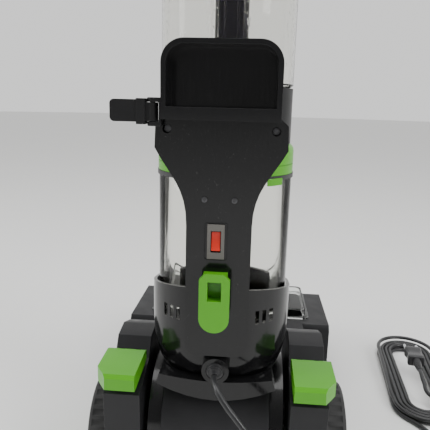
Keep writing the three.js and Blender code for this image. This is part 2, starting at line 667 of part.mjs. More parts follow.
const VENT_X = [40, 47, 54];
const VENT_Z = FLOOR_Z + 51;
const VENT_HEIGHT = 14;
function lowerShell() {
  const outside = loft(lowerBody);
  const pocket = loft(shrunk(lowerBody, SHELL, FLOOR_Z, RIM_REAR_Z + 12, { front: 130 }));
  const under = loft(shrunk(lowerBody, SHELL, NECK_TOP + 4, FLOOR_Z - SHELL));
  const underDoor = box(-40, 40, -30, 30, NECK_TOP - 10, NECK_TOP + 10);
  const slope = Math.atan2(RIM_REAR_Z - RIM_FRONT_Z, lowerBody.at(-1).front - BACK_WALL);
  const top = box(-120, 120, -160, 220, 0, 60)
    .rotateX(-slope)
    .translate(0, BACK_WALL, RIM_REAR_Z);
  const vents = VENT_X.flatMap((x) => [-x, x]).map((x) =>
    box(x - 1.9, x + 1.9, BACK_WALL - 20, BACK_WALL + 40, VENT_Z, VENT_Z + VENT_HEIGHT));
  const cordHole = rodY(9.3, BACK_WALL - 10, -40, 0, CORD_Z, 20);
  const saddle = rodX(DRUM_R + GAP, -90, 90, 0, PIVOT_Z, 48);
  return cut(outside, pocket, under, underDoor, top, cordHole, saddle, ...vents);
}

// Flared lip that closes the foot of the lower body at the rear, lowest in the middle.
const CORD_Z = FLOOR_Z + 3;
const TRIM_REAR = -75;
function lowerTrim() {
  const shape = new THREE.Shape();
  shape.moveTo(-61, CORD_Z - 19);
  shape.quadraticCurveTo(0, CORD_Z - 50.5, 61, CORD_Z - 19);
  shape.lineTo(58, CORD_Z - 8);
  shape.quadraticCurveTo(0, CORD_Z - 19, -58, CORD_Z - 8);
  const lip = slabY(shape, TRIM_REAR, -40);
  const collar = rodY(14, TRIM_REAR - 3, -62, 0, CORD_Z, 24);
  const bore = rodY(9.3, -100, -40, 0, CORD_Z, 20);
  return cut(joined(lip, collar), bodyWithGap(), box(-90, 90, -48, 90, 0, 300), bore);
}

add("drum_housing", drumHousing(), GLOSS_BLACK);
add("drum_cover", drumCover(), DARK_GREY);
add("suction_motor", joined(
  rodX(44, -52, 26, 0, PIVOT_Z, 32),
  rodX(DRUM_R - SHELL - 0.5 - GAP, 20, 24, 0, PIVOT_Z, 48),
  rodX(5, 25, 46, 0, PIVOT_Z, 14),
), COPPER);
add("suction_fan", cut(
  joined(
    rodX(12, 29, 44, 0, PIVOT_Z, 20),
    rodX(50, 29, 31, 0, PIVOT_Z, 32),
    ...Array.from({ length: 8 }, (_, i) =>
      box(30, 43, 8, 49, -1, 1).rotateX((i * Math.PI) / 4).translate(0, 0, PIVOT_Z)),
  ),
  rodX(5 + GAP, 20, 50, 0, PIVOT_Z, 14),
), SATIN_BLACK);
add("lower_body", lowerShell(), GLOSS_BLACK);
add("lower_trim", lowerTrim(), GLOSS_BLACK);
add("water_pump", joined(
  box(-34, 20, -22, 22, NECK_TOP + 12, FLOOR_Z - SHELL - GAP),
  rodY(5, -30, -20, -20, NECK_TOP + 18, 12),
), SATIN_BLACK);

const CORD_R = 3;
const GROMMET_REAR = -88;
add("cord_grommet", cut(
  joined(
    rodY(9, TRIM_REAR - 3, BACK_WALL + 12, 0, CORD_Z, 20),
    new THREE.CylinderGeometry(9, 4.6, 10, 20).translate(0, GROMMET_REAR + 5, CORD_Z),
  ),
  rodY(CORD_R + GAP, GROMMET_REAR - 1, GROMMET_REAR + 9, 0, CORD_Z, 14),
), CORD_BLACK);

// ---------------------------------------------------------------- upright: spine, bin, housing
const SPINE_TOP = BIN_Z + 4;
const FLARE_Z = CUP_FLOOR_Z - 82; // where the straight spine starts to widen
const HOOK_Z = FLOOR_Z + 94;
const HOOK_X = -1.6;
const SWITCH_X = -2.4;
const HOOK_PIN_R = 5;
const SWITCH_Z = FLOOR_Z + 139;
const SWITCH_HALF_W = 8.2;
const SWITCH_HALF_H = 17;

function spineShape(t) {
  const half = SPINE_HALF - t;
  const shoulder = SHOULDER_HALF - t;
  const shape = new THREE.Shape();
  shape.moveTo(-half + 12, SPINE_FOOT_Z + t);
  shape.lineTo(half - 12, SPINE_FOOT_Z + t);
  shape.absarc(half - 12, SPINE_FOOT_Z + 12 + t, 12, -Math.PI / 2, 0);
  shape.lineTo(half, FLARE_Z);
  shape.bezierCurveTo(half, FLARE_Z + 36, shoulder - 14, SHOULDER_Z - 26, shoulder, SHOULDER_Z);
  shape.lineTo(shoulder - 1, CUP_FLOOR_Z + 12);
  shape.lineTo(shoulder - 10, SPINE_TOP - t);
  shape.lineTo(10 - shoulder, SPINE_TOP - t);
  shape.lineTo(1 - shoulder, CUP_FLOOR_Z + 12);
  shape.lineTo(-shoulder, SHOULDER_Z);
  shape.bezierCurveTo(14 - shoulder, SHOULDER_Z - 26, -half, FLARE_Z + 36, -half, FLARE_Z);
  shape.lineTo(-half, SPINE_FOOT_Z + 12 + t);
  shape.absarc(-half + 12, SPINE_FOOT_Z + 12 + t, 12, Math.PI, 1.5 * Math.PI);
  return shape;
}

const SMALL_SCREW_X = 14;
const SMALL_SCREW_Z = FLOOR_Z + 179;
const EAR_SCREW_X = 49.5;
const EAR_SCREW_Z = CUP_FLOOR_Z + 7;
const EAR_SHANK_R = 1.8;
const EAR_HOLE_R = EAR_SHANK_R + GAP;
function spineCover() {
  const outside = slabY(spineShape(0), SPINE_REAR, SPINE_FRONT);
  const inside = slabY(spineShape(SHELL), SPINE_REAR + SHELL, SPINE_FRONT + 1);
  const binRoom = box(-BIN_HALF - GAP, BIN_HALF + GAP, BIN_REAR - 9, 0, BIN_Z - GAP, BIN_Z + 60);
  const switchHole = box(SWITCH_X - SWITCH_HALF_W + 1, SWITCH_X + SWITCH_HALF_W - 1, SPINE_REAR - 9,
    SPINE_REAR + 9,
    SWITCH_Z - SWITCH_HALF_H + 1, SWITCH_Z + SWITCH_HALF_H - 1);
  const hookHole = rodY(HOOK_PIN_R + GAP, SPINE_REAR - 9, SPINE_REAR + 9, HOOK_X, HOOK_Z);
  const earHoles = [-1, 1].map((s) =>
    rodY(4.2, SPINE_REAR - 9, SPINE_REAR + 8.3, s * EAR_SCREW_X, EAR_SCREW_Z, 12));
  const smallHoles = [-1, 1].map((s) =>
    rodY(1.5, SPINE_REAR - 9, SPINE_REAR + 9, s * SMALL_SCREW_X, SMALL_SCREW_Z, 10));
  const bosses = [-1, 1].map((s) =>
    rodY(6, SPINE_REAR + SHELL - 1, SPINE_FRONT + 1.3, s * EAR_SCREW_X, EAR_SCREW_Z, 16));
  const screwHoles = [-1, 1].map((s) =>
    rodY(EAR_HOLE_R, SPINE_REAR - 9, SPINE_FRONT + 9, s * EAR_SCREW_X, EAR_SCREW_Z, 12));
  const shell = cut(outside, inside, bodyWithGap(), binRoom, switchHole, hookHole);
  return cut(joined(shell, ...bosses), ...earHoles, ...smallHoles, ...screwHoles);
}

function storageBin() {
  const half = BIN_HALF;
  const outline = (t, floor) => {
    const shape = new THREE.Shape();
    const r = BIN_CORNER - t;
    shape.moveTo(t - half, BIN_Z + floor);
    shape.lineTo(half - t, BIN_Z + floor);
    shape.absarc(half - BIN_CORNER, BIN_Z + BIN_HEIGHT - BIN_CORNER, r, 0, Math.PI / 2);
    shape.absarc(BIN_CORNER - half, BIN_Z + BIN_HEIGHT - BIN_CORNER, r, Math.PI / 2, Math.PI);
    return shape;
  };
  const front = SPINE_FRONT;
  return cut(slabY(outline(0, 0), BIN_REAR, front),
    slabY(outline(4.5, BIN_SILL), BIN_REAR - 1, front - SHELL));
}

const CUP_REAR = SPINE_FRONT + GAP;
const CUP_FRONT = TANK_FRONT + SLIDE + SHELL;
const cupOutline = { half: UPPER_HALF, rear: CUP_REAR, front: CUP_FRONT, r: TANK_CORNER };
const SKIRT = 9; // how far the upper housing hangs below its floor
const stemOutline = (t) =>
  roundedShape(t - STEM_HALF, STEM_HALF - t, STEM_REAR + t, STEM_REAR + STEM_DEPTH - t, 9 - t);
function upperHousing() {
  const outside = loft([
    { z: CUP_FLOOR_Z - SKIRT, ...cupOutline },
    { z: CUP_TOP, ...cupOutline },
  ]);
  const inner = {
    half: UPPER_HALF - SHELL,
    rear: CUP_REAR + SHELL,
    front: CUP_FRONT - SHELL,
    r: TANK_CORNER - SHELL,
  };
  const cup = loft([{ z: CUP_FLOOR_Z + 4, ...inner }, { z: CUP_TOP + 1, ...inner }]);
  const under = loft([
    { z: CUP_FLOOR_Z - SKIRT - 1, ...inner, front: 130 },
    { z: CUP_FLOOR_Z, ...inner, front: 130 },
  ]);
  const shelf = box(-90, 90, -40, 130, CUP_FLOOR_Z - SKIRT - 1, LID_TOP + 1);
  const socket = box(-STEM_HALF - SHELL, STEM_HALF + SHELL, CHANNEL_REAR + 1, CUP_FRONT - 1,
    CUP_FLOOR_Z + 1, CUP_TOP - 6);
  const stemRoom = slabZ(stemOutline(-GAP), CUP_FLOOR_Z + 4, CUP_TOP + 60);
  const valve = rodZ(11, CUP_FLOOR_Z - 2, CUP_FLOOR_Z + 6, 0, -10);
  const earHoles = [-1, 1].map((s) =>
    rodY(EAR_HOLE_R, SPINE_REAR - 9, SPINE_FRONT + 9, s * EAR_SCREW_X, EAR_SCREW_Z, 12));
  const shell = cut(outside, cup, under, shelf, valve, ...earHoles);
  return cut(joined(shell, socket), stemRoom);
}

add("spine_cover", spineCover(), GLOSS_BLACK);
add("storage_bin", storageBin(), GLOSS_BLACK);
add("upper_housing", upperHousing(), SATIN_BLACK);

for (const [side, s] of SIDES) {
  add(`spine_screw_${side}`, joined(
    rodY(2.6, SPINE_REAR - 1.4, SPINE_REAR - GAP, s * SMALL_SCREW_X, SMALL_SCREW_Z, 14),
    rodY(1.2, SPINE_REAR - 1, SPINE_REAR + 10, s * SMALL_SCREW_X, SMALL_SCREW_Z, 10),
  ), STEEL);
  add(`ear_screw_${side}`, joined(
    rodY(3.4, SPINE_REAR + 4, SPINE_REAR + 8, s * EAR_SCREW_X, EAR_SCREW_Z, 14),
    rodY(EAR_SHANK_R, SPINE_REAR + 7, TANK_REAR - 2, s * EAR_SCREW_X, EAR_SCREW_Z, 10),
  ), STEEL);
}

// ---------------------------------------------------------------- switch, cord hook, hose hook
const BEZEL_RISE = 2.6;
const ROCKER_HALF_W = 4.3;
const ROCKER_HALF_H = 9.6;
const ROCKER_Z = SWITCH_Z;
const ROCKER_Y = SPINE_REAR + 2;
add("switch_bezel", cut(
  joined(
    box(-SWITCH_HALF_W, SWITCH_HALF_W, SPINE_REAR - BEZEL_RISE, SPINE_REAR - GAP,
      SWITCH_Z - SWITCH_HALF_H, SWITCH_Z + SWITCH_HALF_H),
    box(-SWITCH_HALF_W + 1.4, SWITCH_HALF_W - 1.4, SPINE_REAR - 1, SPINE_FRONT - 2,
      SWITCH_Z - SWITCH_HALF_H + 1.4, SWITCH_Z + SWITCH_HALF_H - 1.4),
  ),
  box(-ROCKER_HALF_W - 0.5, ROCKER_HALF_W + 0.5, SPINE_REAR - 9, SPINE_REAR + 9,
    ROCKER_Z - ROCKER_HALF_H - 0.8, ROCKER_Z + ROCKER_HALF_H + 0.8),
).translate(SWITCH_X, 0, 0), SWITCH_GREY);

// The rocker is modelled as it rests, with its upper half pressed in.
const ROCKER_TILT = 8;
const rocker = polygon([
  [4.2, 0.6],
  [-0.4, ROCKER_HALF_H - 0.4],
  [-3.6, ROCKER_HALF_H - 0.4],
  [-2.4, 0],
  [-3.6, 0.4 - ROCKER_HALF_H],
  [-0.4, 0.4 - ROCKER_HALF_H],
  [4.2, -0.6],
]);
add("power_rocker", slabX(rocker, -ROCKER_HALF_W, ROCKER_HALF_W)
  .rotateX(THREE.MathUtils.degToRad(-ROCKER_TILT))
  .translate(SWITCH_X, ROCKER_Y, ROCKER_Z), RED);

const HOOK_HALF = 14.5;
const HOOK_TOP = 18; // above the hook's pin
const HOOK_DROP = 41; // below the pin, to the tip
const HOOK_REAR = -95;
const HOOK_PLATE = 5;
function cordHook() {
  const shape = new THREE.Shape();
  shape.absarc(0, HOOK_HALF - HOOK_DROP, HOOK_HALF, Math.PI, 2 * Math.PI);
  shape.lineTo(HOOK_HALF, HOOK_TOP - 6);
  shape.lineTo(HOOK_HALF - 6, HOOK_TOP);
  shape.lineTo(6 - HOOK_HALF, HOOK_TOP);
  shape.lineTo(-HOOK_HALF, HOOK_TOP - 6);
  const tongue = slabY(shape, HOOK_REAR, HOOK_REAR + HOOK_PLATE);
  const stalk = box(3 - HOOK_HALF, HOOK_HALF - 3, HOOK_REAR + 1, SPINE_REAR - GAP,
    6 - HOOK_TOP, HOOK_TOP - 3);
  const window = box(-6.5, 6.5, HOOK_REAR - 1, SPINE_REAR - 3.5, -HOOK_TOP + 9, HOOK_TOP - 8);
  const pin = rodY(HOOK_PIN_R, SPINE_REAR - 2, SPINE_REAR + 6);
  return joined(cut(joined(tongue, stalk), window), pin).translate(HOOK_X, 0, HOOK_Z);
}
add("cord_hook", cordHook(), GREEN);

const HOSE_HOOK_Z = BIN_Z + 6;
const HOSE_HINGE_X = -BIN_HALF - 8.5;
const HOSE_HINGE_Y = -84.3;
const HOSE_HALF_H = 12.5;
function hoseHookBracket() {
  const lug = (z0, z1) => joined(
    box(HOSE_HINGE_X, -BIN_HALF - GAP, HOSE_HINGE_Y - 5, HOSE_HINGE_Y + 5, z0, z1),
    rodZ(5, z0, z1, HOSE_HINGE_X, HOSE_HINGE_Y, 16),
  );
  const web = box(-BIN_HALF - 2.5, -BIN_HALF - GAP, HOSE_HINGE_Y - 5, HOSE_HINGE_Y + 5,
    HOSE_HOOK_Z - HOSE_HALF_H, HOSE_HOOK_Z + HOSE_HALF_H);
  const pin = rodZ(2, HOSE_HOOK_Z - HOSE_HALF_H, HOSE_HOOK_Z + HOSE_HALF_H, HOSE_HINGE_X, HOSE_HINGE_Y, 12);
  return joined(
    lug(HOSE_HOOK_Z - HOSE_HALF_H, HOSE_HOOK_Z - HOSE_HALF_H + 4),
    lug(HOSE_HOOK_Z + HOSE_HALF_H - 4, HOSE_HOOK_Z + HOSE_HALF_H),
    web,
    pin,
  );
}
function hoseHookArm() {
  const half = HOSE_HALF_H - 4 - GAP;
  const knuckle = rodZ(5, -half, half, 0, 0, 16);
  const block = box(-14, -6, -6, 6, -HOSE_HALF_H + 1.5, HOSE_HALF_H - 1);
  const web = box(-7, 0, -4, 4, -half, half);
  const paddleShape = roundedShape(-38, -11, -HOSE_HALF_H + 3.5, HOSE_HALF_H - 2, 4);
  const paddle = slabY(paddleShape, -5, 1);
  const bore = rodZ(2 + GAP, -20, 20, 0, 0, 12);
  return cut(joined(knuckle, block, web, paddle), bore)
    .translate(HOSE_HINGE_X, HOSE_HINGE_Y, HOSE_HOOK_Z);
}
add("hose_hook_bracket", hoseHookBracket(), SATIN_BLACK);
add("hose_hook_arm", hoseHookArm(), SATIN_BLACK);

// ---------------------------------------------------------------- tanks
const dirtyLevels = (t) => {
  const wall = {
    half: TANK_HALF - t, rear: TANK_REAR + t, front: TANK_FRONT - t, r: TANK_CORNER - t,
  };
  return [
    { z: FLOOR_Z + SLIDE + t, half: TANK_HALF - 11 - t, rear: -50 + t, front: 58 - t, r: 42 },
    { z: FLOOR_Z + 18 + t, half: TANK_HALF - 4 - t, rear: -56 + t, front: 64 - t, r: 50 },
    { z: FLOOR_Z + 36 + t, ...wall },
    { z: DIRTY_TOP + (t ? 1 : 0), ...wall },
  ];
};
add("dirty_tank", cut(loft(dirtyLevels(0)), loft(dirtyLevels(CLEAR_WALL))), CLEAR);

function around(t, z0, z1) {
  const level = {
    half: TANK_HALF + t, rear: TANK_REAR - t, front: TANK_FRONT + t, r: TANK_CORNER + t,
  };
  return loft([{ z: z0, ...level }, { z: z1, ...level }]);
}
const GASKET = 4.5;
const GASKET_OUT = 1.6;
add("tank_gasket", cut(
  around(GASKET_OUT, DIRTY_TOP - GASKET, DIRTY_TOP),
  around(GAP, DIRTY_TOP - GASKET - 1, DIRTY_TOP + 1),
), TYRE);
const LID_LIP = 1; // how far the lid stands out past the tank
add("dirty_tank_lid", cut(
  loft([[DIRTY_TOP + GAP, LID_LIP], [LID_TOP - 6, LID_LIP], [LID_TOP, -5]].map(([z, t]) => ({
    z, half: TANK_HALF + t, rear: TANK_REAR - t, front: TANK_FRONT + t, r: TANK_CORNER + t,
  }))),
  around(-3, DIRTY_TOP - 1, LID_TOP - 8),
), GREEN);

// A tab curved to the tank's corner, hooked over the outside of the gasket.
const LATCH_X = [44, 59];
const LATCH_THICK = 3.2;
const [LATCH_LOW, LATCH_HIGH] = [DIRTY_TOP - 9, DIRTY_TOP - 1.8];
add("lid_latch", common(
  cut(
    around(LATCH_THICK, LATCH_LOW, LATCH_HIGH),
    around(GAP, LATCH_LOW - 1, LATCH_HIGH + 1),
    around(GASKET_OUT + GAP, DIRTY_TOP - GASKET - GAP, LATCH_HIGH + 1),
  ),
  box(...LATCH_X, -90, 0, LATCH_LOW - 1, LATCH_HIGH + 1),
), GREEN);
add("dirty_tank_front", cut(
  common(
    loft(shrunk(lowerBody, 0, FLOOR_Z + 2, RIM_FRONT_Z)),
    box(-58, 58, 40, 100, FLOOR_Z + 2, RIM_FRONT_Z),
  ),
  loft(dirtyLevels(0).map((l) => ({ ...l, half: l.half + GAP, front: l.front + GAP }))),
  box(-80, 80, 0, 50, 0, 400),
), SATIN_BLACK);

// The upper tank steps in where it stands in the housing.
const cleanLevels = (t) => {
  const foot = UPPER_HALF - SHELL - SLIDE - t;
  const footRear = CUP_REAR + SHELL + SLIDE + t;
  const footFront = CUP_FRONT - SHELL - SLIDE - t;
  const body = { half: UPPER_HALF - t, rear: CUP_REAR + t, front: CUP_FRONT - t, r: TANK_CORNER - t };
  const inset = { half: foot, rear: footRear, front: footFront, r: TANK_CORNER - SHELL - SLIDE - t };
  return [
    { z: CLEAN_Z + t, ...inset },
    { z: CUP_TOP + GAP + t, ...inset },
    { z: CUP_TOP + GAP + 2.5 + t, ...body },
    { z: CLEAN_TOP + (t ? 1 : 0), ...body },
  ];
};
function cleanTank() {
  const channel = (t) => box(-CHANNEL_HALF - t, CHANNEL_HALF + t, CHANNEL_REAR - t, 200, 0, 900);
  const walled = (t) => cut(loft(cleanLevels(t)), channel(t));
  return cut(walled(0), walled(CLEAR_WALL));
}
const FILL_X = 0;
const FILL_Y = -14;
const FILL_R = 21;
add("clean_tank", cleanTank(), CLEAR);
const lidLevel = (z, t) => ({
  z, half: UPPER_HALF + t, rear: CUP_REAR - t, front: CUP_FRONT + t, r: TANK_CORNER + t,
});
add("clean_tank_lid", cut(
  loft([
    lidLevel(CLEAN_TOP + GAP, 2),
    lidLevel(CLEAN_TOP + CLEAN_LID - 5, 2),
    lidLevel(CLEAN_TOP + CLEAN_LID, -4),
  ]),
  box(-CHANNEL_HALF, CHANNEL_HALF, CHANNEL_REAR, 200, 0, 900),
  rodZ(FILL_R + GAP, CLEAN_TOP - 5, CLEAN_TOP + CLEAN_LID + 5, FILL_X, FILL_Y, 28),
), SATIN_BLACK);
add("fill_cap", joined(
  rodZ(FILL_R, CLEAN_TOP + 2, CLEAN_TOP + CLEAN_LID + 3, FILL_X, FILL_Y, 28),
  box(FILL_X - 4, FILL_X + 4, FILL_Y - FILL_R + 3, FILL_Y + FILL_R - 3,
    CLEAN_TOP + CLEAN_LID + 2, CLEAN_TOP + CLEAN_LID + 12),
), GREEN);

// ---------------------------------------------------------------- handle
const STEM_FOOT = CUP_FLOOR_Z + 4 + GAP;
function stem() {
  return cut(
    slabZ(stemOutline(0), STEM_FOOT, STEM_TOP),
    slabZ(stemOutline(2), STEM_FOOT + 20, STEM_TOP + 1),
  );
}
add("handle_stem", stem(), VIOLET);

const GRIP_HALF = 16;
const GRIP_FRONT = STEM_REAR + STEM_DEPTH + 2;
const GRIP_REAR = STEM_REAR - 73;
const gripOutline = [
  [STEM_REAR - 2, STEM_TOP + GAP],
  [GRIP_FRONT, STEM_TOP + GAP],
  [GRIP_FRONT, STEM_TOP + 60],
  [GRIP_FRONT - 8, GRIP_TOP - 20],
  [STEM_REAR + 4, GRIP_TOP],
  [GRIP_REAR + 18, GRIP_TOP],
  [GRIP_REAR, GRIP_TOP - 16],
  [GRIP_REAR + 2, GRIP_TOP - 36],
  [STEM_REAR - 12, STEM_TOP + 34],
];
const gripGap = [
  [STEM_REAR - 8, STEM_TOP + 74],
  [STEM_REAR - 2, STEM_TOP + 70],
  [STEM_REAR - 2, GRIP_TOP - 34],
  [STEM_REAR - 12, GRIP_TOP - 26],
  [GRIP_REAR + 30, GRIP_TOP - 26],
  [GRIP_REAR + 24, GRIP_TOP - 38],
];
const TRIGGER_Y = STEM_REAR - 11;
const TRIGGER_Z = GRIP_TOP - 26;
const triggerSlot = [
  [TRIGGER_Y - 31, GRIP_TOP - 36],
  [TRIGGER_Y + 9, GRIP_TOP - 36],
  [TRIGGER_Y + 9, GRIP_TOP - 11],
  [TRIGGER_Y - 31, GRIP_TOP - 13],
];
add("handle_grip", cut(
  slabX(polygon(gripOutline), -GRIP_HALF, GRIP_HALF),
  slabX(polygon(gripGap), -GRIP_HALF - 1, GRIP_HALF + 1),
  slabX(polygon(triggerSlot), -7, 7),
  rodX(2 + GAP, -GRIP_HALF + 3, GRIP_HALF - 3, TRIGGER_Y, TRIGGER_Z, 12),
), SATIN_BLACK);
add("spray_trigger", joined(
  slabX(polygon([
    [TRIGGER_Y - 27, GRIP_TOP - 34],
    [TRIGGER_Y, GRIP_TOP - 38],
    [TRIGGER_Y + 5, GRIP_TOP - 30],
    [TRIGGER_Y + 5.5, GRIP_TOP - 19],
    [TRIGGER_Y - 27, GRIP_TOP - 25],
  ]), -6, 6),
  rodX(2, -GRIP_HALF + 4, GRIP_HALF - 4, TRIGGER_Y, TRIGGER_Z, 12),
), GREEN);

// ---------------------------------------------------------------- mains lead
const FLOOR_CORD_Z = CORD_R + GAP;
const leadPoints = [
  [0, GROMMET_REAR - 2 * GAP, CORD_Z],
  [0.5, -95, CORD_Z - 0.3],
  [2.8, -102, CORD_Z - 2.7],
  [7.4, -108.5, CORD_Z - 7.8],
  [14.5, -114, CORD_Z - 15.2],
  [24, -118.5, CORD_Z - 24.7],
  [36, -123, CORD_Z - 37.5],
  [51, -128, CORD_Z - 54],
  [68.5, -133.5, 97],
  [87, -139, 75],
  [106, -144.5, 52],
  [125.5, -149.5, 30],
  [146.5, -153, 13.2],
  [169, -153.5, 4.7],
  [192, -148.5, FLOOR_CORD_Z],
  [214, -137.5, FLOOR_CORD_Z],
  [234.5, -120.5, FLOOR_CORD_Z],
  [252, -98, FLOOR_CORD_Z],
  [265.5, -70, FLOOR_CORD_Z],
  [274, -38, FLOOR_CORD_Z],
  [279, -4, FLOOR_CORD_Z],
  [282, 30, FLOOR_CORD_Z],
  [284, 62, FLOOR_CORD_Z],
  [283.6, 80, FLOOR_CORD_Z],
  [280.5, 91.5, FLOOR_CORD_Z],
  [276.6, 100, FLOOR_CORD_Z],
];
const leadPath = new THREE.CatmullRomCurve3(leadPoints.map((p) => new THREE.Vector3(...p)));
const octagon = polygon(Array.from({ length: 8 }, (_, i) => [
  CORD_R * Math.cos((i * Math.PI) / 4),
  CORD_R * Math.sin((i * Math.PI) / 4),
]));
add("cord_lead", new THREE.ExtrudeGeometry(octagon, { steps: 46, extrudePath: leadPath }), CORD_BLACK);

// The rest of the lead lies in long loops, with the plug sunk into the top of them.
const hank = new THREE.Group();
hank.position.set(302, 225, 0);
hank.rotation.z = THREE.MathUtils.degToRad(-6);
machine.add(hank);
const HANK_HALF_W = 50;
const HANK_HALF_L = 126;
const HANK_HEIGHT = 42;
const PLUG_X = 3;
const PLUG_Y = 4;
const PLUG_Z = 32;
const PLUG_HALF_W = 13;
const PLUG_HALF_T = 9;
const PLUG_LENGTH = 38;
const RELIEF_LENGTH = 26;
const PIN_LENGTH = 19;
const PIN_SPREAD = 9.5;
add("cord_bundle", cut(
  slabZ(roundedShape(-HANK_HALF_W, HANK_HALF_W, -HANK_HALF_L, HANK_HALF_L, HANK_HALF_W - 1),
    0, HANK_HEIGHT),
  box(PLUG_X - PLUG_HALF_W - 1, PLUG_X + PLUG_HALF_W + 1, PLUG_Y - RELIEF_LENGTH - 4,
    PLUG_Y + PLUG_LENGTH + PIN_LENGTH + 4, PLUG_Z - PLUG_HALF_T - GAP, HANK_HEIGHT + 1),
), CORD_BLACK, hank);
add("mains_plug", joined(
  box(PLUG_X - PLUG_HALF_W, PLUG_X + PLUG_HALF_W, PLUG_Y, PLUG_Y + PLUG_LENGTH,
    PLUG_Z - PLUG_HALF_T, PLUG_Z + PLUG_HALF_T),
  rodY(5, PLUG_Y - RELIEF_LENGTH, PLUG_Y + 1, PLUG_X, PLUG_Z, 14),
  ...[-PIN_SPREAD, PIN_SPREAD].map((x) =>
    rodY(2.4, PLUG_Y + PLUG_LENGTH - 1, PLUG_Y + PLUG_LENGTH + PIN_LENGTH, PLUG_X + x, PLUG_Z, 12)),
), CORD_BLACK, hank);

const MACHINE_REAR = Math.min(BIN_REAR, HOOK_REAR, PEDAL_REAR);
machine.position.y = -(NOSE + MACHINE_REAR) / 2;
const part = new THREE.Group();
part.add(machine);
export default part;
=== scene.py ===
import json
import math
import random

import bmesh
import bpy
from mathutils import Euler, Matrix, Vector


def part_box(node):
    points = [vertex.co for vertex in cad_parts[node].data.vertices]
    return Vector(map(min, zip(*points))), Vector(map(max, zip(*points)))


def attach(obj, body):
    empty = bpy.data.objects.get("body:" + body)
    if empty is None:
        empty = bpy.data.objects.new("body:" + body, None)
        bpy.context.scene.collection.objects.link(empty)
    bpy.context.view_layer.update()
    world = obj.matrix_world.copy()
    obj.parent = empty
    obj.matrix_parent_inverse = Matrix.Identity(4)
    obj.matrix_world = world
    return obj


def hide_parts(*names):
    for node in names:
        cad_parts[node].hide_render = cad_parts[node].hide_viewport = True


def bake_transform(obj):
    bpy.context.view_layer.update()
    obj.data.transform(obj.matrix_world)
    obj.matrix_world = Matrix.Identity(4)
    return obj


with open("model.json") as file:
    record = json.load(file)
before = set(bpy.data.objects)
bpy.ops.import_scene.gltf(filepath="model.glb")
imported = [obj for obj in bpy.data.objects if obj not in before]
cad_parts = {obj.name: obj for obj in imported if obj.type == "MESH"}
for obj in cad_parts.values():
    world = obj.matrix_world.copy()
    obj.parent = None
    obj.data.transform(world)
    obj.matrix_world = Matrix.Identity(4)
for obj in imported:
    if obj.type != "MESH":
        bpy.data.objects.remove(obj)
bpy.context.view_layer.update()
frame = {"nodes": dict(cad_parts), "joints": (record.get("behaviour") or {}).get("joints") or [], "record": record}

# Lengths are in metres. MM turns a size that is given in millimetres into metres.
MM = 0.001
RECORD = frame["record"]
BODY_OF = {n: b for b, ns in RECORD["behaviour"]["bodies"].items() for n in ns}
SLOT_OF = {s["node"]: s["material_slot"] for s in RECORD["subparts"]}
JOINT_AT = {j["name"]: Vector(j["pos_m"]) for j in frame["joints"] if "pos_m" in j}
TILT_AXIS = JOINT_AT["tilt"]


def at(x, y, z):
    """A place in millimetres: x from the middle, y from the tilt axis, z from the floor."""
    return Vector((x * MM, TILT_AXIS.y + y * MM, z * MM))


# ------------------------------------------------------------------ camera
def set_camera():
    camera_data = bpy.data.cameras.new("camera")
    camera_data.sensor_width = 36
    camera_data.lens = 41.86
    camera = bpy.data.objects.new("camera", camera_data)
    bpy.context.scene.collection.objects.link(camera)
    pitch = math.radians(13)
    yaw = math.radians(4.45)
    roll = math.radians(1.4)
    turn = Euler((math.pi / 2 - pitch, 0, yaw)).to_matrix() @ Matrix.Rotation(roll, 3, "Z")
    camera.matrix_world = Matrix.Translation((0.0315, -0.6733, 0.4378)) @ turn.to_4x4()
    bpy.context.scene.camera = camera


set_camera()


# ------------------------------------------------------------------ modelling helpers
def only(piece):
    """Leaves this piece alone selected and active, in object mode."""
    if bpy.context.object and bpy.context.object.mode != "OBJECT":
        bpy.ops.object.mode_set(mode="OBJECT")
    bpy.ops.object.select_all(action="DESELECT")
    piece.select_set(True)
    bpy.context.view_layer.objects.active = piece


def settle(piece, name):
    """Puts the place, turn and size of a new piece into its mesh."""
    piece.name = name
    piece.data.name = name
    only(piece)
    bpy.ops.object.transform_apply(location=True, rotation=True, scale=True)
    return piece


def block(name, low, high):
    """A box between two corners."""
    low, high = Vector(low), Vector(high)
    bpy.ops.object.select_all(action="DESELECT")
    bpy.ops.mesh.primitive_cube_add(size=1, location=(low + high) / 2)
    piece = bpy.context.object
    piece.scale = high - low
    return settle(piece, name)


def rod(name, start, end, radius, sides=48, end_radius=None):
    """A cylinder or a cone from one point to another."""
    start, end = Vector(start), Vector(end)
    bpy.ops.object.select_all(action="DESELECT")
    bpy.ops.mesh.primitive_cone_add(
        vertices=sides,
        radius1=radius,
        radius2=radius if end_radius is None else end_radius,
        depth=(end - start).length,
        location=(start + end) / 2,
        rotation=(end - start).to_track_quat("Z", "Y").to_euler(),
    )
    return settle(bpy.context.object, name)


def pick(piece, where, kind="FACE"):
    """Goes into edit mode and selects the faces or edges for which where(middle, direction) holds."""
    only(piece)
    bpy.ops.object.mode_set(mode="EDIT")
    bpy.ops.mesh.select_mode(type=kind)
    bpy.ops.mesh.select_all(action="DESELECT")
    shape = bmesh.from_edit_mesh(piece.data)
    found = 0
    for item in shape.faces if kind == "FACE" else shape.edges:
        if kind == "FACE":
            middle, direction = item.calc_center_median(), item.normal
        else:
            a, b = (v.co for v in item.verts)
            middle, direction = (a + b) / 2, (b - a).normalized()
        if where(middle, direction):
            item.select_set(True)
            found += 1
    shape.select_flush_mode()
    bmesh.update_edit_mesh(piece.data)
    if not found:
        raise ValueError(f"{piece.name}: nothing selected")


def done():
    """Leaves edit mode."""
    bpy.ops.object.mode_set(mode="OBJECT")


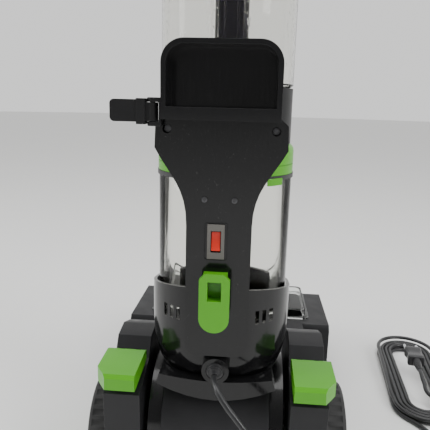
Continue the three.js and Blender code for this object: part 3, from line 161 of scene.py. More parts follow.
def bevel(piece, where, width, segments=3):
    """Rounds the chosen edges."""
    pick(piece, where, "EDGE")
    bpy.ops.mesh.bevel(offset=width, segments=segments, affect="EDGES", profile=0.5)
    done()
    return piece


def inset(piece, where, thickness, depth=0.0):
    """Draws a smaller face inside the chosen ones, raised by depth."""
    pick(piece, where)
    bpy.ops.mesh.inset(thickness=thickness, depth=depth, use_boundary=True)
    done()
    return piece


def remove_faces(piece, where):
    pick(piece, where)
    bpy.ops.mesh.delete(type="FACE")
    done()
    return piece


def cut_off(piece, point, normal):
    """Cuts with a plane, closes the cut and takes away the side that the normal points to."""
    only(piece)
    bpy.ops.object.mode_set(mode="EDIT")
    bpy.ops.mesh.select_all(action="SELECT")
    bpy.ops.mesh.bisect(plane_co=point, plane_no=normal, use_fill=True, clear_outer=True)
    done()
    return piece


def use(piece, kind, **settings):
    """Adds a modifier and applies it."""
    only(piece)
    modifier = piece.modifiers.new(kind.lower(), kind)
    for key, value in settings.items():
        setattr(modifier, key, value)
    bpy.ops.object.modifier_apply(modifier=modifier.name)
    return piece


def carve(piece, *tools):
    """Takes the shapes of the tools out of the piece and throws the tools away."""
    for tool in tools:
        use(piece, "BOOLEAN", operation="DIFFERENCE", solver="EXACT", object=tool)
        bpy.data.objects.remove(tool)
    return piece


def unite(name, *pieces):
    """Joins pieces into one object without cutting them."""
    only(pieces[0])
    for piece in pieces[1:]:
        piece.select_set(True)
    bpy.ops.object.join()
    pieces[0].name = name
    return pieces[0]


def smooth(piece, degrees=32):
    """Shades the faces that meet at less than this angle as one smooth surface."""
    only(piece)
    bpy.ops.object.shade_smooth_by_angle(angle=math.radians(degrees))
    return piece


def soften(piece, width, segments=3, degrees=30):
    """Rounds every edge sharper than this angle, then shades the rest smooth."""
    use(
        piece,
        "BEVEL",
        width=width,
        segments=segments,
        limit_method="ANGLE",
        angle_limit=math.radians(degrees),
        use_clamp_overlap=True,
        harden_normals=True,
    )
    return use(smooth(piece), "WEIGHTED_NORMAL", keep_sharp=True)


def vertical(middle, direction):
    return abs(direction.z) > 0.99


def rounded_prism(name, low, high, corner, segments=14):
    """An upright block with round corners."""
    return bevel(block(name, low, high), vertical, corner, segments)


def moulding(node, width, segments=3, degrees=30):
    """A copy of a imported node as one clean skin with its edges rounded."""
    source = frame["nodes"][node]
    piece = bpy.data.objects.new(f"{node}_moulding", source.data.copy())
    bpy.context.scene.collection.objects.link(piece)
    piece.data.materials.clear()
    only(piece)
    bpy.ops.object.mode_set(mode="EDIT")
    bpy.ops.mesh.select_all(action="SELECT")
    bpy.ops.mesh.remove_doubles(threshold=1e-5)
    bpy.ops.mesh.dissolve_limited(angle_limit=math.radians(1))
    done()
    return soften(piece, width, segments, degrees)


def fit(piece, finish, *nodes, body=None):
    """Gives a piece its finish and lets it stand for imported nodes."""
    piece.data.materials.clear()
    piece.data.materials.append(finish)
    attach(piece, body or BODY_OF[nodes[0]])
    if nodes:
        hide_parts(*nodes)
    return piece


# ------------------------------------------------------------------ finishes
def finish(name, colour, roughness, metallic=0.0):
    """A new material, with its node tree and its surface shader."""
    material = bpy.data.materials.new(name)
    material.use_nodes = True
    shader = material.node_tree.nodes["Principled BSDF"]
    shader.inputs["Base Color"].default_value = (*colour, 1)
    shader.inputs["Roughness"].default_value = roughness
    shader.inputs["Metallic"].default_value = metallic
    return material, material.node_tree, shader


def noise(tree, scale, detail=2.0, stretch=(1, 1, 1)):
    """Noise over the piece's own place, scale cells to a metre."""
    place = tree.nodes.new("ShaderNodeTexCoord")
    mapping = tree.nodes.new("ShaderNodeMapping")
    mapping.inputs["Scale"].default_value = stretch
    tree.links.new(place.outputs["Object"], mapping.inputs["Vector"])
    texture = tree.nodes.new("ShaderNodeTexNoise")
    texture.inputs["Scale"].default_value = scale
    texture.inputs["Detail"].default_value = detail
    tree.links.new(mapping.outputs["Vector"], texture.inputs["Vector"])
    return texture.outputs["Fac"]


def set_range(node, low, high, to_low, to_high):
    """Fills the four limits of a range node."""
    sockets = ("From Min", "From Max", "To Min", "To Max")
    for socket, number in zip(sockets, (low, high, to_low, to_high)):
        node.inputs[socket].default_value = number


def spread(tree, value, low, high, to_low, to_high):
    """Stretches a value between two limits to another range."""
    node = tree.nodes.new("ShaderNodeMapRange")
    set_range(node, low, high, to_low, to_high)
    tree.links.new(value, node.inputs["Value"])
    return node.outputs["Result"]


def tint(tree, shader, value, dark, light):
    """Lets the colour wander between two colours."""
    node = tree.nodes.new("ShaderNodeMix")
    node.data_type = "RGBA"
    node.inputs["A"].default_value = (*dark, 1)
    node.inputs["B"].default_value = (*light, 1)
    tree.links.new(value, node.inputs["Factor"])
    tree.links.new(node.outputs["Result"], shader.inputs["Base Color"])


def relief(tree, shader, value, height, previous=None):
    """Adds a bump whose full height is given in metres."""
    node = tree.nodes.new("ShaderNodeBump")
    node.inputs["Distance"].default_value = height
    tree.links.new(value, node.inputs["Height"])
    if previous is not None:
        tree.links.new(previous, node.inputs["Normal"])
    tree.links.new(node.outputs["Normal"], shader.inputs["Normal"])
    return node.outputs["Normal"]


def moulded(name, colour, roughness, grain, grain_height, wander=0.25):
    """Injection-moulded plastic: a fine grain, soft flow marks, and slight handling sheen."""
    material, tree, shader = finish(name, colour, roughness)
    cloud = spread(tree, noise(tree, 9, 4), 0.35, 0.65, 0, 1)
    dark = [c * (1 - wander / 2) for c in colour]
    light = [min(1, c * (1 + wander / 2)) for c in colour]
    tint(tree, shader, cloud, dark, light)
    handled = spread(tree, noise(tree, 35, 5), 0.35, 0.7, roughness - 0.08 / 2, roughness + 0.08)
    tree.links.new(handled, shader.inputs["Roughness"])
    flow = relief(tree, shader, noise(tree, 26, 1), 0.00012)
    relief(tree, shader, noise(tree, grain, 3), grain_height, flow)
    shader.inputs["Specular IOR Level"].default_value = 0.28
    return material


def glossy(name, colour, roughness):
    """Polished plastic: a clear deep surface with hairline wipe marks and specks of dust."""
    material, tree, shader = finish(name, colour, roughness)
    wipes = noise(tree, 60, 4, (9, 1, 0.6))
    sheen = spread(tree, wipes, 0.45, 0.8, roughness, roughness + 0.12)
    tree.links.new(sheen, shader.inputs["Roughness"])
    dust = spread(tree, noise(tree, 900, 1), 0.74, 0.79, 0, 0.25)
    tint(tree, shader, dust, colour, (0.25, 0.25, 0.24))
    relief(tree, shader, noise(tree, 22, 1), 0.00016)
    shader.inputs["Specular IOR Level"].default_value = 0.32
    shader.inputs["Coat Weight"].default_value = 0.12
    shader.inputs["Coat Roughness"].default_value = 0.05
    return material


def clear_plastic(name, colour, streak, specks):
    """Thin clear plastic, a little warm, with faint streaks or drops on it."""
    material, tree, shader = finish(name, colour, 0.04)
    shader.inputs["IOR"].default_value = 1.2
    shader.inputs["Transmission Weight"].default_value = 1.0
    haze = spread(tree, noise(tree, 70, 3, (1, 1, streak)), 0.5, 0.8, 0.02, 0.16)
    tree.links.new(haze, shader.inputs["Roughness"])
    drops = spread(tree, noise(tree, specks, 1), 0.66, 0.74, 0, 1)
    relief(tree, shader, drops, 0.00012)
    return material


def metal(name, colour, roughness, stretch=(1, 1, 1)):
    """Bare metal with fine brushing along one way."""
    material, tree, shader = finish(name, colour, roughness, 1.0)
    brushed = spread(tree, noise(tree, 500, 3, stretch), 0.3, 0.7, roughness - 0.08, roughness + 0.12)
    tree.links.new(brushed, shader.inputs["Roughness"])
    relief(tree, shader, noise(tree, 700, 2, stretch), 0.00004)
    return material


def rubber(name, colour, roughness, grain=1400):
    """Soft rubber: a fine grain, with paler worn patches."""
    material, tree, shader = finish(name, colour, roughness)
    worn = spread(tree, noise(tree, 40, 4), 0.35, 0.7, 0, 1)
    tint(tree, shader, worn, colour, [c * 1.9 + 0.004 for c in colour])
    relief(tree, shader, noise(tree, grain, 3), 0.00008)
    shader.inputs["Sheen Weight"].default_value = 0.08
    return material


GLOSS_BLACK = glossy("polished black plastic", (0.006, 0.006, 0.0065), 0.13)
SATIN_BLACK = moulded("satin black plastic", (0.007, 0.007, 0.0075), 0.4, 1500, 0.00004)
DARK_GREY = moulded("grained dark plastic", (0.016, 0.016, 0.0175), 0.46, 1100, 0.0001)
GREEN = moulded("green plastic", (0.075, 0.335, 0.008), 0.34, 1800, 0.00002, wander=0.08)
GREEN.node_tree.nodes["Principled BSDF"].inputs["Coat Weight"].default_value = 0.15
TYRE = rubber("tyre rubber", (0.012, 0.012, 0.012), 0.75)
GASKET = rubber("soft black seal", (0.012, 0.012, 0.013), 0.55)
CORD = rubber("black cord sheath", (0.009, 0.009, 0.01), 0.3, 2200)
SCREW_STEEL = metal("dull screw steel", (0.1, 0.1, 0.105), 0.4)
STEEL = metal("bright steel", (0.62, 0.63, 0.65), 0.28, (1, 1, 6))
MOTOR_METAL = metal("cast motor metal", (0.45, 0.42, 0.38), 0.42)
TANK_CLEAR = clear_plastic("clear lower tank", (0.93, 0.93, 0.9), 0.3, 30)
UPPER_CLEAR = clear_plastic("clear upper tank with drops", (0.93, 0.93, 0.9), 0.4, 260)
WINDOW_CLEAR = clear_plastic("clear window", (0.95, 0.96, 0.95), 1, 30)
VIOLET = glossy("dark violet stem", (0.016, 0.013, 0.03), 0.12)
RED = glossy("red rocker", (0.6, 0.03, 0.015), 0.2)
SWITCH_GREY = moulded("grey switch plastic", (0.12, 0.115, 0.105), 0.42, 1500, 0.00003)
FINISH_OF = {
    "gloss_black": GLOSS_BLACK,
    "satin_black": SATIN_BLACK,
    "dark_grey": DARK_GREY,
    "green": GREEN,
    "tyre_black": TYRE,
    "steel": STEEL,
    "motor_metal": MOTOR_METAL,
    "clear": TANK_CLEAR,
    "stem_violet": VIOLET,
    "switch_red": RED,
    "switch_grey": SWITCH_GREY,
    "cord_black": CORD,
}


# ------------------------------------------------------------------ mains cord
CORD_R = 3
CURVE_STEPS = 5  # steps of the round tube from one route point to the next
CORD_Z = 171  # height of the hole that the cord comes out of
# The route from the grommet down to the floor and up to the hank, in millimetres.
LEAD = [
    (0, -88.6, 171),
    (0.5, -95, 170.7),
    (2.8, -102, 168.3),
    (7.4, -108.5, 163.2),
    (14.5, -114, 155.8),
    (24, -118.5, 146.3),
    (36, -123, 133.5),
    (51, -128, 117),
    (68.5, -133.5, 97),
    (87, -139, 75),
    (106, -144.5, 52),
    (125.5, -149.5, 30),
    (146.5, -153, 13.2),
    (169, -153.5, 4.7),
    (192, -148.5, 3.3),
    (214, -137.5, 3.3),
    (234.5, -120.5, 3.3),
    (252, -98, 3.3),
    (265.5, -70, 3.3),
    (274, -38, 3.3),
    (279, -4, 3.3),
    (282, 30, 3.3),
    (284, 62, 3.3),
]
HANK_X, HANK_Y = 302, 225
HANK_TURN = math.radians(-6)
FLOOR_Z = 3.3  # middle of a cord that lies on the floor
TURN_STEP = 6.6  # from one turn to the next in a layer
LAYER_RISE = 6.4
TURNS = 3.5  # in each of the two full layers
PER_TURN = 34  # route points in a turn
NEAR_R, FAR_R = 43.5, 46
NEAR_Y, FAR_Y = -79, 76.5
CLIMB = 0.3  # share of a turn over which the cord climbs to the next layer
PLUG_X, PLUG_Y, PLUG_Z = 3, 4, 32
PLUG_RELIEF = 26


def in_hank(x, y, z):
    """A place given in the hank's own frame, in millimetres."""
    c, s = math.cos(HANK_TURN), math.sin(HANK_TURN)
    return at(HANK_X + x * c - y * s, HANK_Y + x * s + y * c, z)


def loop_place(turn, shrink):
    """Where a long loop runs: two arcs and the lines that touch them, moved in by shrink."""
    near, far = NEAR_R - shrink, FAR_R - shrink
    run = FAR_Y - NEAR_Y
    lean = math.asin((far - near) / run)
    side = run * math.cos(lean)
    far_arc = (math.pi + 2 * lean) * far
    near_arc = (math.pi - 2 * lean) * near
    left = (turn % 1) * (2 * side + far_arc + near_arc)
    if left < side:
        share = left / side
        angle, radius, y = math.pi + lean, near + share * (far - near), NEAR_Y + share * run
    elif left < side + far_arc:
        angle, radius, y = math.pi + lean - (left - side) / far, far, FAR_Y
    elif left < 2 * side + far_arc:
        share = 1 - (left - side - far_arc) / side
        angle, radius, y = -lean, near + share * (far - near), NEAR_Y + share * run
    else:
        angle, radius, y = -lean - (left - 2 * side - far_arc) / near, near, NEAR_Y
    return radius * math.cos(angle), y + radius * math.sin(angle)


def hank_route():
    """The cord's turns: inwards on the floor, outwards on top, part of a third layer, the plug."""
    route = [(-2.5, -145, FLOOR_Z), (-10.5, -131, FLOOR_Z), (-21.5, -118.5, FLOOR_Z)]
    start = -0.052
    for i in range(round((TURNS - start) * PER_TURN) + 1):
        turn = start + i / PER_TURN
        route.append((*loop_place(turn, max(0, turn) * TURN_STEP), FLOOR_Z))
    inner = turn
    for i in range(1, round(inner * PER_TURN) + 1):
        since = i / PER_TURN
        shrink = TURN_STEP * min(inner, max(0, inner + CLIMB - since))
        turn = inner + since
        route.append((*loop_place(turn, shrink), FLOOR_Z + LAYER_RISE * min(1, since / CLIMB)))
    outer = turn
    i = 1
    x, y = loop_place(outer + i / PER_TURN, 0)
    while x <= 20 or y >= -46:
        climb = min(1, i / PER_TURN / (CLIMB - 0.05))
        route.append((x, y, FLOOR_Z + LAYER_RISE * (1 + climb)))
        i += 1
        x, y = loop_place(outer + i / PER_TURN, 0)
    top = FLOOR_Z + 2 * LAYER_RISE
    bend = 19.5
    middle_x = route[-1][0] - 0.1 - bend
    for k, rise in enumerate((0, 0, 0.1, 0.3, 0.8, 1.6, 2.7, 4, 5.6)):
        angle = -math.pi * k / 8
        route.append((middle_x + bend * math.cos(angle), -58 + bend * math.sin(angle), top + rise))
    route += [
        (middle_x - bend - 0.1, -49.5, 24.6),
        (PLUG_X + 0.6, -41, 28),
        (PLUG_X + 0.2, -33, 30.6),
        (PLUG_X, -27, 31.7),
        (PLUG_X, PLUG_Y - PLUG_RELIEF + 0.5, PLUG_Z),
    ]
    return [in_hank(*place) for place in route]


def smooth_curve(name, route, radius, sides=4):
    """A round cord on one smooth line through the points."""
    curve = bpy.data.curves.new(name, "CURVE")
    curve.dimensions = "3D"
    curve.bevel_depth = radius
    curve.bevel_resolution = sides
    curve.resolution_u = CURVE_STEPS
    curve.use_fill_caps = True
    spline = curve.splines.new("BEZIER")
    spline.bezier_points.add(len(route) - 1)
    for point, place in zip(spline.bezier_points, route):
        point.co = place
        point.handle_left_type = point.handle_right_type = "AUTO"
    cord = bpy.data.objects.new(name, curve)
    bpy.context.scene.collection.objects.link(cord)
    return cord


def in_hank_frame(piece, name):
    """Turns a piece made in the hank's own frame, near the world's middle, to its place."""
    piece.rotation_euler.z = HANK_TURN
    piece.location = at(HANK_X, HANK_Y, 0)
    return settle(piece, name)


def mm(x, y, z):
    return Vector((x, y, z)) * MM


def make_plug():
    """The plug: a waisted body, a ribbed tapered relief behind it, and two pins."""
    half_w, half_t, length = 13, 9, 38
    body = block(
        "plug_body",
        mm(PLUG_X - half_w, PLUG_Y, PLUG_Z - half_t),
        mm(PLUG_X + half_w, PLUG_Y + length, PLUG_Z + half_t),
    )
    only(body)
    bpy.ops.object.mode_set(mode="EDIT")
    bpy.ops.mesh.select_all(action="SELECT")
    bpy.ops.mesh.subdivide(number_cuts=4)
    done()
    waist = (PLUG_Y + 0.42 * length) * MM
    pick(body, lambda m, d: abs(m.y - waist) < 4 * MM)
    centre = mm(PLUG_X, PLUG_Y + 0.42 * length, PLUG_Z)
    bpy.ops.transform.resize(value=(0.86, 1, 0.84), center_override=centre)
    done()
    use(body, "BEVEL", width=3.4 * MM, segments=3, limit_method="ANGLE", angle_limit=math.radians(50))
    use(body, "SUBSURF", levels=1, render_levels=1)
    ribs = []
    rib_count = 6
    tail = PLUG_Y - PLUG_RELIEF
    for i in range(rib_count):
        share = i / rib_count
        y = PLUG_Y - share * PLUG_RELIEF
        radius = 7 - 2.6 * share
        near, far = mm(PLUG_X, y + 1, PLUG_Z), mm(PLUG_X, y - 2.2, PLUG_Z)
        ribs.append(rod("rib", near, far, radius * MM, 24, (radius - 0.7) * MM))
    core = rod("core", mm(PLUG_X, PLUG_Y + 1, PLUG_Z), mm(PLUG_X, tail, PLUG_Z), 5.6 * MM, 24, 3.7 * MM)
    plug = in_hank_frame(unite("plug", body, core, *ribs), "plug")
    smooth(plug, 40)
    pins = []
    for side in (-1, 1):
        x = PLUG_X + side * 9.5
        y = PLUG_Y + length
        pin = rod("pin", mm(x, y - 1, PLUG_Z), mm(x, y + 18.8, PLUG_Z), 2.35 * MM, 24)
        bevel(pin, lambda m, d: m.y > (y + 18) * MM, 1.6 * MM, 4)
        pins.append(pin)
    prongs = smooth(in_hank_frame(unite("plug_pins", *pins), "plug_pins"), 40)
    return plug, prongs


def make_grommet():
    """The ribbed, tapered strain relief of the lead."""
    sides = 40
    core = rod("cord_relief", at(0, -66, CORD_Z), at(0, -78, CORD_Z), 8.8 * MM, sides)
    tip = rod("tip", at(0, -77.5, CORD_Z), at(0, -88, CORD_Z), 7.2 * MM, sides, 4.2 * MM)
    ribs = []
    for i in range(4):
        y = -78.6 - 2.4 * i
        radius = 8.4 - 1.1 * i
        near, far = at(0, y + 0.7, CORD_Z), at(0, y - 0.7, CORD_Z)
        ribs.append(rod("rib", near, far, radius * MM, sides, (radius - 0.5) * MM))
    relief_piece = soften(unite("cord_relief", core, tip, *ribs), 0.3 * MM, 2, 40)
    fit(relief_piece, CORD, "cord_grommet")
    return relief_piece


def make_cord():
    route = [at(*p) for p in LEAD] + hank_route()
    cord = smooth_curve("mains_cord", route, CORD_R * MM)
    only(cord)
    bpy.ops.object.convert(target="MESH")
    cord = settle(bpy.context.object, "mains_cord")
    plug, prongs = make_plug()
    fit(plug, CORD, "mains_plug")
    fit(prongs, STEEL, body="base")
    only(cord)
    make_grommet()
    cord.data.materials.append(CORD)
    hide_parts("cord_lead", "cord_bundle")
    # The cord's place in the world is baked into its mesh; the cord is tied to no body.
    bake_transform(cord)


make_cord()

# ------------------------------------------------------------------ tanks
TANK_CORNER = 56 * MM
CORNER_STEPS = 16  # faces round a tank's corner
CLEAR_WALL = 2.5 * MM
TINY = 1e-4


def around(node):
    """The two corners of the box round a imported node."""
    low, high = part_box(node)
    return Vector(low), Vector(high)


def step_down(piece, drop, share_x, share_y):
    """Extrudes the lowest face down and draws it in."""
    floor = min(v.co.z for v in piece.data.vertices)
    on_floor = [v.co for v in piece.data.vertices if v.co.z < floor + 1e-5]
    centre = sum(on_floor, Vector()) / len(on_floor)
    pick(piece, lambda m, d: d.z < -0.9 and m.z < floor + 1e-5)
    bpy.ops.mesh.extrude_region_move(TRANSFORM_OT_translate={"value": (0, 0, -drop)})
    bpy.ops.transform.resize(value=(share_x, share_y, 1), center_override=centre)
    done()
    return piece


def open_shell(piece, wall):
    """Takes the top off and gives the rest a wall inwards."""
    top = max(v.co.z for v in piece.data.vertices)
    remove_faces(piece, lambda m, d: d.z > 0.9 and m.z > top - 0.03)
    return use(piece, "SOLIDIFY", thickness=wall, offset=-1, use_even_offset=True)


def make_dirty_tank():
    """The clear lower tank with its green lid, seal, latch and front."""
    low, high = around("dirty_tank")
    tank = rounded_prism("dirty_tank_wall", (low.x, low.y, 204 * MM), high, TANK_CORNER, CORNER_STEPS)
    step_down(tank, 18 * MM, 66 / 70, 120 / 125.5)
    step_down(tank, 17.2 * MM, 59 / 66, 108 / 120)
    bevel(tank, lambda m, d: abs(d.z) < 0.1 and m.z < low.z + 0.001, 5 * MM, 3)
    open_shell(tank, CLEAR_WALL)
    rim = high.z - 2 * TINY
    bevel(tank, lambda m, d: abs(d.z) < 0.1 and m.z > rim, 0.6 * MM, 2)
    fit(smooth(tank, 40), TANK_CLEAR, "dirty_tank")

    low, high = around("dirty_tank_lid")
    corner = TANK_CORNER + 1 * MM
    lid = rounded_prism("dirty_tank_collar", low, high, corner, CORNER_STEPS)
    bevel(lid, lambda m, d: abs(d.z) < 0.1 and m.z > high.z - 0.001, 6 * MM, 4)
    inner = corner - 4 * MM
    carve(lid, rounded_prism("hollow", low + mm(4, 4, -3), high - mm(4, 4, 8), inner, CORNER_STEPS))
    belt = low.z + 9 * MM
    groove_low = (low.x - 0.01, low.y - 0.01, belt)
    groove_high = (high.x + 0.01, high.y + 0.01, belt + 1 * MM)
    groove = rounded_prism("groove", groove_low, groove_high, corner, CORNER_STEPS)
    inner = corner - 0.9 * MM
    keep = rounded_prism("keep", low + mm(0.9, 0.9, -1), high - mm(0.9, 0.9, -1), inner, CORNER_STEPS)
    carve(lid, carve(groove, keep))
    fit(smooth(lid, 40), GREEN, "dirty_tank_lid")

    low, high = around("tank_gasket")
    seal = rounded_prism("lower_seal", low, high, TANK_CORNER + 1.6 * MM, CORNER_STEPS)
    inner = TANK_CORNER + 0.3 * MM
    edge = mm(1.3, 1.3, -2)
    carve(seal, rounded_prism("hollow", low + edge, high - edge, inner, CORNER_STEPS))
    fit(smooth(seal, 40), GASKET, "tank_gasket")
    fit(moulding("lid_latch", 0.7 * MM, 2), GREEN, "lid_latch")
    fit(moulding("dirty_tank_front", 1.2 * MM), SATIN_BLACK, "dirty_tank_front")


def stem_channel(low, high):
    """The room at the front of the clean tank for the handle's stem."""
    half = 22 * MM
    return block("channel", (-half, at(0, 34, 0).y, low.z - 0.1), (half, high.y + 0.1, high.z + 0.1))


def make_clean_tank():
    """The clear upper tank with its lid and fill cap."""
    low, high = around("clean_tank")
    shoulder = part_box("upper_housing")[1][2] + 2.8 * MM
    tank = rounded_prism("clean_tank_wall", (low.x, low.y, shoulder), high, TANK_CORNER, CORNER_STEPS)
    size = high - low
    step_down(tank, 2.5 * MM, 1 - 7.2 * MM / size.x, 1 - 7.2 * MM / size.y)
    step_down(tank, shoulder - 2.5 * MM - low.z, 1, 1)
    bevel(tank, lambda m, d: abs(d.z) < 0.1 and m.z < low.z + 0.001, 3 * MM, 3)
    carve(tank, stem_channel(low, high))
    open_shell(tank, CLEAR_WALL)
    fit(smooth(tank, 40), UPPER_CLEAR, "clean_tank")

    low, high = around("clean_tank_lid")
    lid = rounded_prism("clean_tank_cap", low, high, TANK_CORNER + 2 * MM, CORNER_STEPS)
    bevel(lid, lambda m, d: abs(d.z) < 0.1 and m.z > high.z - 0.001, 6 * MM, 4)
    cap_low, cap_high = around("fill_cap")
    middle = (cap_low + cap_high) / 2

    def on_axis(z):
        return Vector((middle.x, middle.y, z))

    mouth = 21.3 * MM
    well = rod("well", on_axis(low.z - 0.01), on_axis(high.z + 0.01), mouth, 64)
    carve(lid, stem_channel(low, high), well)
    soften(lid, 0.8 * MM, 2, 50)
    fit(lid, SATIN_BLACK, "clean_tank_lid")

    skirt_top = high.z + 3 * MM
    cap = rod("fill_cap_knob", on_axis(cap_low.z), on_axis(skirt_top), 21 * MM, 72)
    bevel(cap, lambda m, d: abs(d.z) < 0.1 and m.z > skirt_top - 0.001, 2.2 * MM, 3)
    grip = block("grip", on_axis(skirt_top) - mm(4, 18, 2), on_axis(cap_high.z) + mm(4, 18, 0))
    soften(grip, 2.5 * MM, 4, 50)
    notches = []
    notch_count, notch_low, notch_high = 24, 673, 678
    for i in range(notch_count):
        angle = 2 * math.pi * i / notch_count
        spot = on_axis(0) + Vector((mouth * math.cos(angle), mouth * math.sin(angle), 0))
        foot, top = spot + mm(0, 0, notch_low), spot + mm(0, 0, notch_high)
        notches.append(rod("notch", foot, top, 1.1 * MM, 8))
    carve(cap, unite("notches", *notches))
    fit(smooth(unite("fill_cap_knob", cap, grip), 35), GREEN, "fill_cap")


# ------------------------------------------------------------------ upright
def make_lower_body():
    """The bucket that holds the dirty tank: a round-bottomed shell with vents and a sloping rim."""
    half, rear, front = 74.2, -70, 72
    shell = rounded_prism("bucket", at(-half, rear, 203), at(half, front, 275), 58 * MM, 18)
    # How far each ring of the bottom drops, and how much it draws in sideways and lengthways.
    for drop, share_x, share_y in (
        (17, 73 / 74.2, 140 / 142),
        (9, 71.2 / 73, 137 / 140),
        (9, 69 / 71.2, 134 / 137),
        (8, 66.2 / 69, 128.5 / 134),
        (8, 63 / 66.2, 122 / 128.5),
        (11.6, 58 / 63, 102 / 122),
    ):
        step_down(shell, drop * MM, share_x, share_y)
    rim_rear_z, rim_front_z = 256, 228
    rim_slope = Vector((0, rim_rear_z - rim_front_z, front - rear)).normalized()
    cut_off(shell, at(0, rear, rim_rear_z), rim_slope)
    remove_faces(shell, lambda m, d: d.dot(rim_slope) > 0.99)
    use(shell, "SOLIDIFY", thickness=3 * MM, offset=-1, use_even_offset=True)
    cuts = [
        block("front_cut", at(-70.6, 14, 168.3), at(70.6, front + 100, 300)),
        rod("cord_hole", at(0, -90, CORD_Z), at(0, -40, CORD_Z), 9.3 * MM, 32),
    ]
    vent_half, vent_low, vent_high = 1.9, 219, 233
    for x in (40, 47, 54):
        for side in (-1, 1):
            low = at(side * x - vent_half, -90, vent_low)
            high = at(side * x + vent_half, -20, vent_high)
            cuts.append(block("vent", low, high))
    carve(shell, *cuts)
    deck = rounded_prism("tank_floor", at(-66, -63, 165), at(66, 65, 167.8), 44 * MM, 12)
    soften(shell, 1.1 * MM, 3, 42)
    fit(unite("bucket", shell, deck), GLOSS_BLACK, "lower_body")


def make_upper_housing():
    """The cup under the clean tank, with the valve's hole and the socket of the handle's stem."""
    low, high = around("upper_housing")
    wall = 3 * MM
    cup = rounded_prism("upper_cup", low, high, TANK_CORNER, CORNER_STEPS)
    floor_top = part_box("clean_tank")[0][2] - 0.6 * MM
    middle_y = (low.y + high.y) / 2
    for way, end, bottom in ((1, high.z, floor_top), (-1, low.z, floor_top - 4 * MM)):

        def end_face(m, d):
            return d.z * way > 0.9 and abs(m.z - end) < TINY

        inset(cup, end_face, wall)
        pick(cup, lambda m, d: end_face(m, d) and abs(m.x) < 0.02 and abs(m.y - middle_y) < 0.01)
        bpy.ops.mesh.extrude_region_move(TRANSFORM_OT_translate={"value": (0, 0, bottom - end)})
        done()
    valve = rod("valve", at(0, -10, 398), at(0, -10, 412), 11 * MM, 32)
    under = block("under", at(-90, -40, 390), at(90, 130, 396))
    carve(cup, valve, under)
    socket = block("socket", at(-21.5, 35, 405), at(21.5, 70.6, 444))
    room = rounded_prism("room", at(-18.8, 37.7, 408), at(18.8, 66.3, 520), 9 * MM, 8)
    carve(socket, room)
    soften(socket, 1 * MM, 2, 50)
    soften(cup, 1 * MM, 3, 50)
    fit(unite("upper_cup", cup, socket), SATIN_BLACK, "upper_housing")


def make_bin():
    """The open bin at the rear, with round top corners and a sill across its mouth."""
    low, high = around("storage_bin")
    wall, sill, corner = 4.5 * MM, 11 * MM, 20 * MM

    def lengthways(m, d):
        return abs(d.y) > 0.99 and m.z > (low.z + high.z) / 2

    tray = bevel(block("rear_bin", low, high), lengthways, corner, 12)
    back = high.y - 3 * MM
    hollow_low = (low.x + wall, low.y - 0.01, low.z + sill)
    hollow = block("hollow", hollow_low, (high.x - wall, back, high.z - wall))
    bevel(hollow, lengthways, corner - wall, 12)
    carve(tray, hollow)
    lip_low = low + mm(9, 4, -1) + Vector((0, 0, sill))
    lip_high = Vector((high.x, back, low.z + sill)) + mm(-9, -2, 8)
    lip = block("lip", lip_low, lip_high)
    carve(tray, soften(lip, 3 * MM, 3, 50))
    soften(tray, 1.5 * MM, 4, 40)
    fit(tray, GLOSS_BLACK, "storage_bin")


def make_screw(name, place, head, node):
    """A pan-head screw that faces the rear, with a cross in it."""
    rear = Vector(place)
    seat = rear + mm(0, 1.2, 0)
    body = rod(name, rear, seat, head, 40)
    pick(body, lambda m, d: d.y < -0.9)
    bpy.ops.mesh.inset(thickness=head * 0.35, depth=0.25 * MM)
    done()
    for wide, tall in ((0.62, 0.14), (0.14, 0.62)):
        corner = Vector((wide * head, 0, tall * head))
        carve(body, block("bar", rear - corner - mm(0, 2, 0), rear + corner + mm(0, 0.7, 0)))
    shank = rod("shank", seat, rear + mm(0, 9, 0), head * 0.45, 24)
    fit(smooth(unite(name, body, shank), 35), SCREW_STEEL, node)


def make_spine():
    """The cover down the rear, its four screws, and the switch in its thin raised frame."""
    fit(moulding("spine_cover", 1.5 * MM, 4, 40), GLOSS_BLACK, "spine_cover")
    for side in ("left", "right"):
        for kind, head in (("spine", 2.6 * MM), ("ear", 3.4 * MM)):
            node = f"{kind}_screw_{side}"
            low, high = around(node)
            middle = (low + high) / 2
            make_screw(f"{node}_head", (middle.x, low.y + 0.3 * MM, middle.z), head, node)
    low, high = around("switch_bezel")
    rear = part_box("spine_cover")[0][1]
    grow = mm(3.2, 0, 1.4)
    frame_low, frame_high = low - grow, high + grow
    frame_low.y, frame_high.y = rear - 0.7 * MM, rear + 0.3 * MM

    def lengthways(m, d):
        return abs(d.y) > 0.99

    rim = bevel(block("switch_surround", frame_low, frame_high), lengthways, 3 * MM, 6)
    room = block("room", frame_low + mm(0.8, -5, 0.8), frame_high - mm(0.8, -5, 0.8))
    bevel(room, lengthways, 2.3 * MM, 6)
    carve(rim, room)
    soften(rim, 0.25 * MM, 2, 40)
    fit(rim, GLOSS_BLACK, body="upright")
    fit(moulding("switch_bezel", 0.6 * MM), SWITCH_GREY, "switch_bezel")
    fit(moulding("power_rocker", 0.5 * MM), RED, "power_rocker")


# ------------------------------------------------------------------ base
TYRE_SIDES = 96


def inner_and_outer(node, sign):
    """The middle of a wheel node, and how far out its inner and outer sides are."""
    low, high = around(node)
    ends = (high.x, low.x) if sign < 0 else (low.x, high.x)
    return (low + high) / 2, *ends


